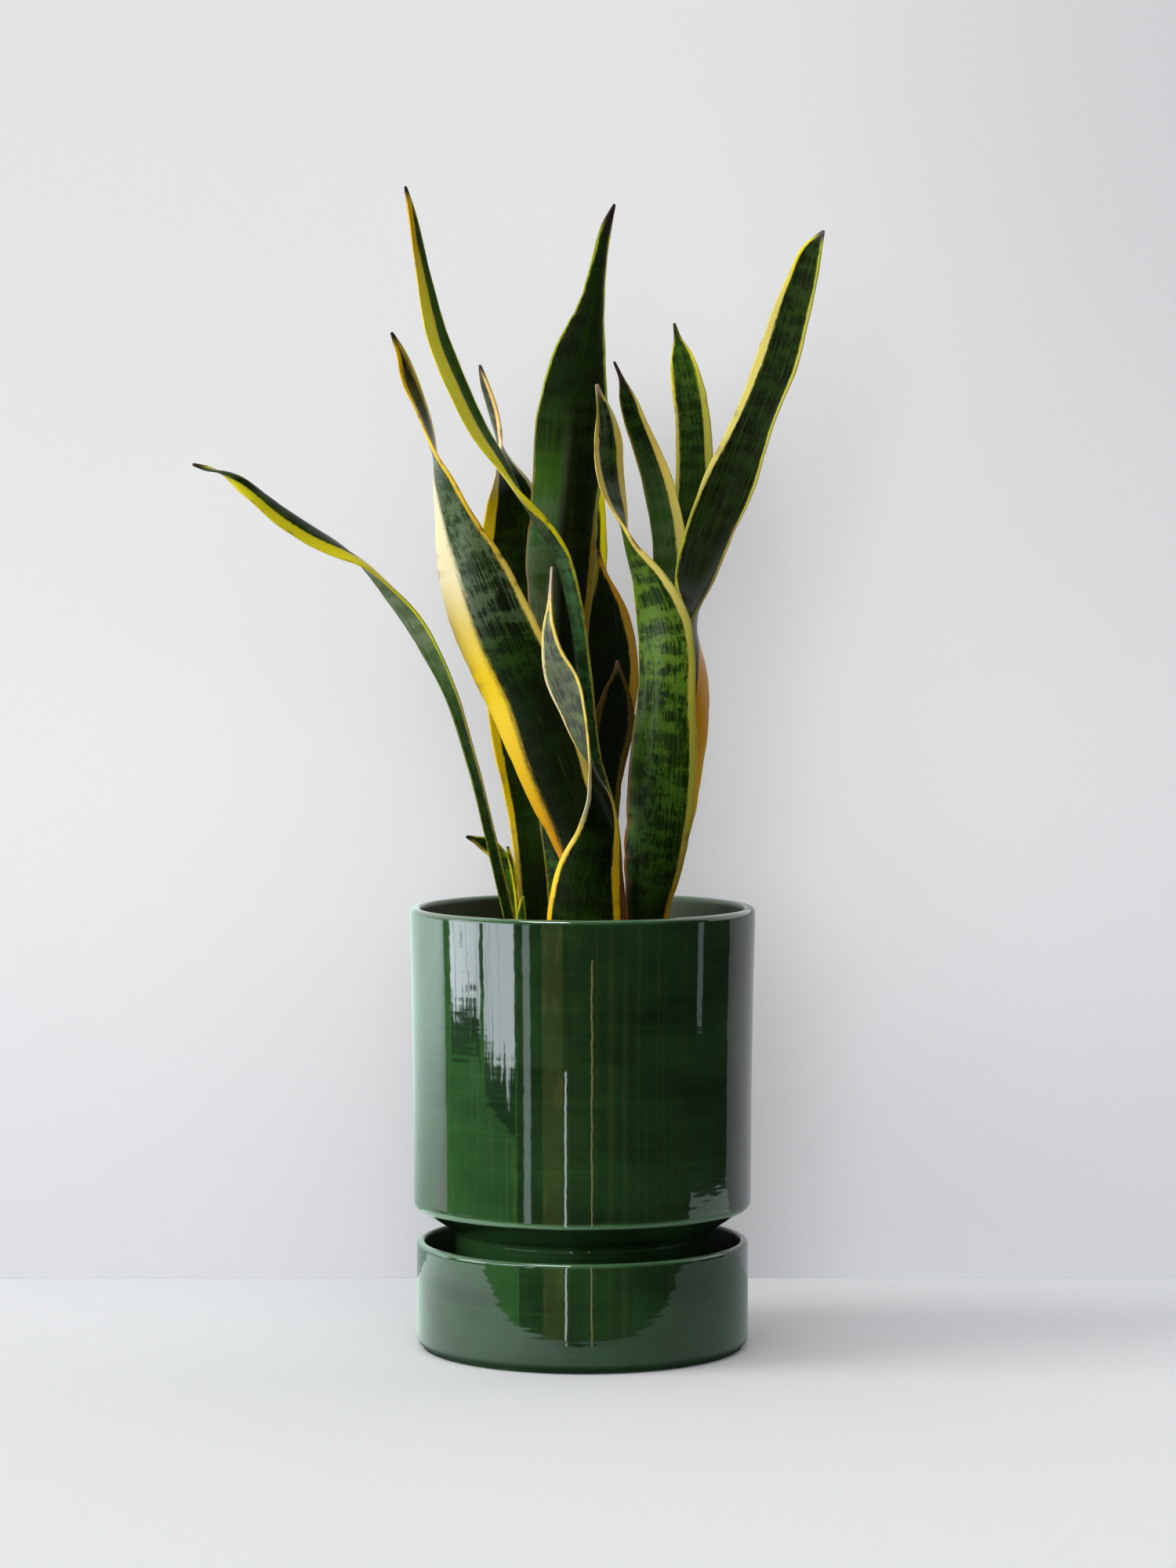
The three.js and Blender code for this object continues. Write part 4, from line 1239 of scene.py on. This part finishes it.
def glaze_relief_group():
    """Fine throwing lines and slow waves that break up what the glaze reflects; heights in metres."""
    group, taken, given = new_group("glaze_relief", ("Place",), ("Relief", "Lines"))
    fine = stretched_noise(group, taken["Place"], *GLAZE["line_noise"])
    waves = 0.0
    for stretch, height in GLAZE["waves"]:
        waves = scaled(group, stretched_noise(group, taken["Place"], stretch, 1, 0.5), height, waves)
    relief = maths(group, "ADD", waves, times(group, fine, GLAZE["line_height"]))
    feed(group, given, {"Relief": relief, "Lines": fine})
    return group


def glaze_material(name, relief, lips, inner_radius, inner_height):
    """The glaze; within that radius and above that height it is olive and less smooth."""
    material, tree, shader = new_material(name)
    place = object_place(tree)
    across, deep, height = parts(tree, place)
    within = ease(tree, from_axis(tree, across, deep), inner_radius + 0.0012, inner_radius)
    inside = times(tree, within, ease(tree, height, inner_height - 0.002, inner_height))
    thin = use_group(tree, glaze_thinning_group(name + "_thinning", lips), Place=place)["Thin"]
    skin = use_group(tree, relief, Place=place)
    depth = stretched_noise(tree, place, *GLAZE["depth_noise"])
    colour = blend_colours(tree, ease(tree, depth, *GLAZE["depth"]), GLAZE_DEEP, GLAZE_BODY)
    colour = tint(tree, colour, GLAZE_LIGHT, skin["Lines"], *GLAZE["streak"])
    colour = blend_colours(tree, inside, colour, GLAZE_INSIDE)
    colour = blend_colours(tree, thin, colour, GLAZE_THIN)
    smooth = scaled(tree, depth, *GLAZE["roughness"])
    normal = bumped(tree, skin["Relief"], 1.0, 1.0)
    feed(tree, shader, {
        "Base Color": colour,
        "Roughness": scaled(tree, inside, GLAZE["inside_roughness"], smooth),
        "IOR": GLAZE["ior"],
        "Coat Weight": maths(tree, "SUBTRACT", 1.0, inside),
        "Coat Roughness": GLAZE["coat_roughness"],
        "Coat IOR": GLAZE["coat_ior"],
        "Normal": normal,
        "Coat Normal": normal,
    })
    return material


# Soil and what lies on it

def soil_material():
    material, tree, shader = new_material("potting_soil")
    place = object_place(tree)
    crumbs = stretched_noise(tree, place, (420, 420, 420), 4, 0.65)
    patches = stretched_noise(tree, place, (60, 60, 60), 2, 0.5)
    colour = blend_colours(tree, ease(tree, crumbs, 0.35, 0.68), SOIL_DARK, SOIL_LIGHT)
    feed(tree, shader, {
        "Base Color": tint(tree, colour, SOIL_DAMP, patches, 0.45, 0.7, 0.45),
        "Roughness": scaled(tree, patches, 0.2, 0.78),
        "Normal": bumped(tree, crumbs, 0.9, 0.0012),
    })
    return material


def crumb_material(name, dark, light, stretch):
    """A dry matt finish with fine pits."""
    material, tree, shader = new_material(name)
    grain = stretched_noise(tree, object_place(tree), stretch, 3, 0.6)
    feed(tree, shader, {
        "Base Color": blend_colours(tree, ease(tree, grain, 0.35, 0.65), dark, light),
        "Roughness": scaled(tree, grain, 0.15, 0.75),
        "Normal": bumped(tree, grain, 0.8, 0.0005),
    })
    return material


def lump_height(x, y):
    """Height of the soil's lumps at a place, in metres."""
    place = Vector((x, y, 0))
    return sum(height * noise.noise(place * fineness) for height, fineness in SOIL_LUMPS)


def make_soil():
    soil = turn_outline("soil_bed", soil_outline(), closed=False, turns=SOIL_TURNS)
    top = (SOIL["edge"] - 0.1) * MM
    for vertex in soil.data.vertices:
        if vertex.co.z > top:
            vertex.co.z += lump_height(vertex.co.x, vertex.co.y)
    soil.data.update()
    finish_piece(soil, soil_material(), "soil")
    for name, crumb in CRUMBS.items():
        scatter_crumbs(name, crumb, crumb_material(*crumb["finish"]))


def model_crumb(name, flatness):
    """One broken crumb, 2 units across: a rounded lump with flat faces cut on it."""
    crumb = add_new(bpy.ops.mesh.primitive_ico_sphere_add, name, subdivisions=2, radius=1.0)
    bpy.ops.object.mode_set(mode="EDIT")
    for cut in CRUMB["cuts"]:
        bpy.ops.mesh.select_all(action="SELECT")
        at = [CRUMB["cut_depth"] * c for c in cut]
        bpy.ops.mesh.bisect(plane_co=at, plane_no=cut, use_fill=True, clear_outer=True)
    bpy.ops.mesh.select_all(action="SELECT")
    bpy.ops.transform.resize(value=(1.0, CRUMB["breadth"], flatness), center_override=(0, 0, 0))
    bpy.ops.mesh.normals_make_consistent(inside=False)
    bpy.ops.object.mode_set(mode="OBJECT")
    return crumb


def leaf_feet():
    """Where each leaf stands in the soil: its place and half its width, in millimetres."""
    feet = []
    for leaf in (*LEAVES.values(), *SIDE_SHOOT.values(), DRY_SHEATH):
        low, high = leaf["stations"][:2]
        share = (SOIL["edge"] - low[2]) / (high[2] - low[2])
        x, y, _, width = (a + (b - a) * share for a, b in zip(low[:4], high[:4]))
        feet.append((x, y, width / 2))
    return feet


def scatter_crumbs(name, kind, material):
    """Copies of one crumb, half sunk in the soil, clear of the leaves and the pot's wall."""
    flatness = kind["flatness"]
    crumb = model_crumb(name, flatness)
    shape = np.array([vertex.co for vertex in crumb.data.vertices])
    faces = [tuple(polygon.vertices) for polygon in crumb.data.polygons]
    rng = random.Random(kind["seed"])
    feet = leaf_feet()
    room = POT["body"] - POT["wall"] - CRUMB["from_wall"]
    tilt, beside, before = CRUMB["tilt"], CRUMB["beside_leaf"], CRUMB["before_leaf"]
    points, polygons, placed = [], [], 0
    while placed < kind["count"]:
        size = rng.uniform(*kind["sizes"])
        away = math.sqrt(rng.random()) * (room - size)
        angle = rng.uniform(0, 2 * math.pi)
        x, y = away * math.cos(angle), away * math.sin(angle)
        turn = Euler((rng.uniform(-tilt, tilt), rng.uniform(-tilt, tilt), rng.uniform(0, CRUMB["turn"])))
        if any(abs(x - fx) < half + size + beside and abs(y - fy) < before + size for fx, fy, half in feet):
            continue
        stretch = [size * rng.uniform(*CRUMB["stretch"]), size * rng.uniform(*CRUMB["stretch"]), size]
        height = soil_height(away / SOIL_RADIUS) + lump_height(x * MM, y * MM) / MM
        place = np.array([x, y, height + CRUMB["raised"] * size * flatness])
        moved = (shape * np.array(stretch)) @ np.array(turn.to_matrix()).T + place
        polygons += [tuple(k + len(points) for k in face) for face in faces]
        points += [tuple(point) for point in moved * MM]
        placed += 1
    crumb.data.clear_geometry()
    crumb.data.from_pydata(points, [], polygons)
    crumb.data.update()
    finish_piece(crumb, material)


# Studio helpers

def add_sheet(name, corners, material):
    """A flat four-cornered sheet of the studio."""
    sheet = add_new(bpy.ops.mesh.primitive_plane_add, name, size=1)
    for vertex, corner in zip(sheet.data.vertices, (corners[0], corners[1], corners[3], corners[2])):
        vertex.co = corner
    sheet.data.update()
    sheet.data.materials.append(material)
    return sheet


def upright_corners(start, end, low, high):
    """Corners of an upright sheet between two points of the floor."""
    return [(*start, low), (*end, low), (*end, high), (*start, high)]


def flat_corners(left, right, near, far, height):
    """Corners of a level sheet."""
    return [(left, near, height), (right, near, height), (right, far, height), (left, far, height)]


def one_sided_matt(name):
    """A matt finish that can't be seen from behind, so that it hides nothing from the back."""
    material, tree, shader = new_material(name)
    feed(tree, shader, {"Roughness": 0.9, "Specular IOR Level": 0.15})
    clear = node(tree, "ShaderNodeBsdfTransparent").outputs[0]
    back = node(tree, "ShaderNodeNewGeometry").outputs["Backfacing"]
    front = tree.nodes["Principled BSDF"].outputs[0]
    mix = node(tree, "ShaderNodeMixShader", {0: back, 1: front, 2: clear})
    feed(tree, tree.nodes["Material Output"].inputs, {"Surface": mix.outputs[0]})
    return material, tree, shader


def add_glow(name, corners, colour, strength, receivers=None):
    """A glowing sheet that only shows in gloss, and in that of the receivers alone where they are given."""
    material = bpy.data.materials.new(name)
    material.use_nodes = True
    tree = material.node_tree
    tree.nodes.clear()
    glow = node(tree, "ShaderNodeEmission", {"Color": colour, "Strength": strength})
    node(tree, "ShaderNodeOutputMaterial", {"Surface": glow.outputs[0]})
    sheet = add_sheet(name, corners, material)
    sheet.light_linking.receiver_collection = receivers
    for kind in ("camera", "diffuse", "transmission", "shadow"):
        setattr(sheet, "visible_" + kind, False)
    return tree, glow.inputs


def add_card(name, start, end, low, high, colour, strength):
    """An upright card that shows in the gloss of the pot and the saucer alone."""
    corners = upright_corners(start, end, low, high)
    return add_glow(name, corners, colour, strength, bpy.data.collections["pottery"])


def add_fading_card(name, start, end, colour, strength):
    """A card whose glow fades out from its start to its end."""
    tree, glow = add_card(name, start, end, 0.0, CARD_TOP, colour, strength)
    across = parts(tree, object_place(tree))[0]
    feed(tree, glow, {"Strength": times(tree, ease(tree, across, end[0], start[0]), strength)})
    return tree, glow


def brighten_away(tree, glow):
    """Makes the glow of the left wall's card stronger further from the pot and higher up."""
    across, _, height = parts(tree, object_place(tree))
    gain = scaled(tree, ease(tree, across, -0.15, -0.85), 2.4, 1.2)
    gain = times(tree, gain, scaled(tree, ease(tree, height, 0.0, 0.17), 0.55, 0.45))
    feed(tree, glow, {"Strength": times(tree, glow["Strength"].links[0].from_socket, gain)})


def add_pane(name, start, end, low, strength):
    """A bright pane with wavy upright lines in it, its lower border uneven."""
    tree, glow = add_card(name, start, end, low - 0.03, CARD_TOP, DAYLIGHT, strength)
    place = object_place(tree)
    ragged = times(tree, stretched_noise(tree, place, *PANE["border_noise"]), PANE["border_uneven"])
    height = maths(tree, "ADD", parts(tree, place)[2], ragged)
    from_border, full = PANE["border"]
    shown = ease(tree, height, low + from_border, low + full)
    lines = centred(tree, stretched_noise(tree, place, *PANE["line_noise"]))
    lines = ease(tree, maths(tree, "ABSOLUTE", lines), 0.0, PANE["line_width"])
    shown = times(tree, shown, scaled(tree, lines, *PANE["line_strength"]))
    feed(tree, glow, {"Strength": scaled(tree, shown, strength - PANE["dim"], PANE["dim"])})


def add_streaked_card(name, start, end, dark, pale, stretch, high=CARD_TOP):
    """A dim card with faint streaks."""
    tree, glow = add_card(name, start, end, 0.0, high, dark, 1.0)
    streaks = stretched_noise(tree, object_place(tree), stretch, 3, 0.7)
    feed(tree, glow, {"Color": blend_colours(tree, ease(tree, streaks, 0.5, 0.72), dark, pale)})


def add_floor_gloss():
    """What a gloss sees of the floor, as a painted reflection: paler at the left and away from the object,
    with painted shade where the object's shadow lies near it at the right.
    """
    left, right = -SIDE_X + 10 * APART, SIDE_FAR - 10 * APART
    corners = flat_corners(left, right, FRONT_Y + APART, WALL_Y - APART, JUST_ABOVE)
    tree, glow = add_glow("floor_gloss", corners, FLOOR_IN_GLOSS, 0.5, bpy.data.collections["pottery"])
    across, depth, _ = parts(tree, object_place(tree))
    away = from_axis(tree, across, depth)
    # Painted shade: dim near the object at the right, where its shadow lies on the floor
    side = ease(tree, across, 0.05, -0.12)
    near = scaled(tree, side, 0.82, 0.32)
    near = scaled(tree, times(tree, side, ease(tree, away, 0.25, 0.36)), 0.4, near)
    far = scaled(tree, side, -0.6, 0.7)
    light = scaled(tree, maths(tree, "SUBTRACT", far, near), ease(tree, away, 0.4, 0.5), near)
    feed(tree, glow, {"Strength": times(tree, light, ease(tree, away, 0.08, 0.1))})


# Studio

def add_backdrop():
    """A pale floor in three parts, and a pale wall with painted shade: darker low down, at the top right
    and towards the right.
    """
    floor_finish, tree, shader = one_sided_matt("pale_floor")
    feed(tree, shader, {"Base Color": FLOOR_TONE})
    floors = [
        add_sheet(name, flat_corners(-FAR, FAR, near, far, -JUST_ABOVE), floor_finish)
        for name, near, far in (
            ("floor", FLOOR_FRONT_Y, WALL_Y),
            ("rear_floor", WALL_Y, FAR),
            ("front_floor", -FAR, FLOOR_FRONT_Y),
        )
    ]
    floors[-1].visible_diffuse = False
    floors[-1].visible_glossy = False
    wall_finish, tree, shader = one_sided_matt("pale_wall")
    across, _, up = parts(tree, object_place(tree))
    # Painted shade: darker low down, at the top right and towards the right
    colour = blend_colours(tree, ease(tree, up, -0.1, 0.34), WALL_LOW_SHADE, WALL_HIGH)
    corner = times(tree, ease(tree, across, 0.0, 0.5), ease(tree, up, 0.2, 0.7))
    colour = blend_colours(tree, corner, colour, WALL_CORNER_SHADE)
    colour = tint(tree, colour, WALL_RIGHT_SHADE, across, 0.05, 0.35, 0.28)
    feed(tree, shader, {"Base Color": colour})
    wall = add_sheet("wall", upright_corners((-FAR, WALL_Y), (FAR, WALL_Y), 0, FAR), wall_finish)
    return [*floors, wall]


def add_room_in_gloss():
    """The dim room in front of the plant as the gloss shows it, and what stands out in it."""
    farther, front, rear = FRONT_Y + APART, FRONT_Y + 2 * APART, WALL_Y - 3 * APART
    left, right = -SIDE_X + 2 * APART, SIDE_FAR - 2 * APART
    front_left, front_right = (-SIDE_X, FRONT_Y), (SIDE_FAR, FRONT_Y)
    add_streaked_card("room_front", front_left, front_right, ROOM_DARK, ROOM_WARM, (60, 60, 1.5))
    add_streaked_card("room_left", (-SIDE_X, 0.066), front_left, GREEN_SIDE, GREY_SIDE, (30, 30, 14))
    add_streaked_card("front_green", (-SIDE_X, farther), (-0.12, farther), GREEN_SIDE, PALE_SIDE,
                      (70, 70, 8), high=0.15)
    add_card("room_right", front_right, (SIDE_FAR, 0.2), 0.0, CARD_TOP, ROOM_GREY, 1.0)
    add_fading_card("wall_gloss_right", (0.08, rear), (1.4, rear), WALL_IN_GLOSS, 0.42)
    brighten_away(*add_fading_card("wall_gloss_left", (-0.08, rear), (-2.4, rear), WALL_GREENISH, 1.0))
    add_floor_gloss()
    add_pane("pane_left", (left, 0.0095), (left, front), 0.128, 5.2)
    add_pane("pane_corner", (left, front), (-0.360, front), 0.134, 4.8)
    add_pane("pane_right", (-0.3035, front), (-0.1254, front), 0.132, 4.5)
    add_card("pale_strip", (-0.102, front), (-0.0858, front), 0.055, CARD_TOP, PALE_STRIP, 2.0)
    add_streaked_card("olive_strip", (-0.0627, front), (-0.0294, front), OLIVE_STRIP, SAND_STRIP,
                      (90, 90, 40))
    add_card("bright_line", (-0.0262, farther), (-0.0236, farther), 0.0, 0.14, DAYLIGHT, 5.0)
    add_card("warm_line", (0.0131, front), (0.0147, front), 0.0, 0.2, WARM_LINE, 2.4)
    add_card("side_strip", (right, -0.132), (right, -0.086), 0.1, CARD_TOP, GREY_STRIP, 0.9)
    add_glow("side_window", upright_corners((-0.58, -0.62), (-0.58, 0.03), 0.04, 0.5), DAYLIGHT, 3.4)
    high_corners = [(-0.9, -0.8, 2.2), (-0.2, -0.9, 2.2), (-0.2, -0.2, 2.2), (-0.9, -0.1, 2.2)]
    add_glow("high_window", high_corners, DAYLIGHT, 12.0)


def new_collection(name, pieces):
    """The pieces that a light or a card reaches."""
    made = bpy.data.collections.new(name)
    for piece in pieces:
        made.objects.link(piece)
    return made


def add_studio():
    new_collection("pottery", (bpy.data.objects["pot_glazed"], bpy.data.objects["saucer_glazed"]))
    sheets = add_backdrop()
    add_room_in_gloss()
    bpy.context.scene.collection.children.link(new_collection("backdrop", sheets))
    for entry in new_collection("all_but_backdrop", sheets).collection_objects:
        entry.light_linking.link_state = "EXCLUDE"
    new_collection("wall_only", sheets[-1:])
    for name, lamp in LAMPS.items():
        add_lamp(name, *lamp)
    add_world()


def add_lamp(name, from_direction, power, colour, spread, receivers):
    """A lamp that shines from a direction; spread is how wide it looks, in degrees."""
    away = [3 * c for c in from_direction]
    lamp = add_new(bpy.ops.object.light_add, name, type="SUN", location=away)
    lamp.visible_glossy = False
    lamp.data.energy = power
    lamp.data.angle = math.radians(spread)
    lamp.data.color = colour[:3]
    lamp.rotation_mode = "QUATERNION"
    lamp.rotation_quaternion = Vector(from_direction).to_track_quat("Z", "Y")
    if receivers:
        lamp.light_linking.receiver_collection = bpy.data.collections[receivers]


def add_world():
    """Pale behind the object for the camera, dim in the gloss, and a weak light all round."""
    world = bpy.data.worlds.new("studio")
    bpy.context.scene.world = world
    world.use_nodes = True
    tree = world.node_tree
    tree.nodes.clear()
    ray = node(tree, "ShaderNodeLightPath").outputs
    seen = node(tree, "ShaderNodeBackground", {"Color": WORLD_SEEN}).outputs[0]
    strength = scaled(tree, ray["Is Diffuse Ray"], 0.05, 0.04)
    lit = node(tree, "ShaderNodeBackground", {"Color": WORLD_LIGHT, "Strength": strength}).outputs[0]
    mix = node(tree, "ShaderNodeMixShader", {0: ray["Is Camera Ray"], 1: lit, 2: seen})
    node(tree, "ShaderNodeOutputWorld", {"Surface": mix.outputs[0]})


# The whole plant

def make_pot():
    relief = glaze_relief_group()
    saucer = turn_outline("saucer_glazed", saucer_outline(), closed=False)
    lips = [(SAUCER["height"] * MM, 0.0024)]
    inner = (SAUCER["radius"] - SAUCER["wall"]) * MM
    glaze = glaze_material("saucer_glaze", relief, lips, inner, SAUCER["floor"] * MM)
    finish_piece(saucer, glaze, "saucer")
    pot = turn_outline("pot_glazed", pot_outline(), closed=True)
    lips = [(POT["height"] * MM, 0.0026), (POT["body_bottom"] * MM - 0.001, 0.002)]
    inner = (POT["rim"] - POT["wall"]) * MM
    glaze = glaze_material("pot_glaze", relief, lips, inner, SOIL["edge"] * MM)
    finish_piece(pot, glaze, "pot")


def make_leaves():
    streaks = leaf_streaks_group()
    bands = leaf_bands_group(streaks)
    margin = leaf_margin_group(streaks)
    number = 0
    for leaves, finish, slot in (
        (LEAVES, "leaf_blade", "leaf"),
        (SIDE_SHOOT, "young_leaf", "young_leaf"),
        ({"dry_sheath": DRY_SHEATH}, "dry_leaf", "dry_leaf"),
    ):
        material = leaf_material(finish, bands, margin, streaks)
        for name, leaf in leaves.items():
            number += 1
            make_leaf(name + "_blade", leaf, number, material)


bpy.context.scene.view_settings.view_transform = "Standard"
add_camera()
make_pot()
make_soil()
make_leaves()
add_studio()
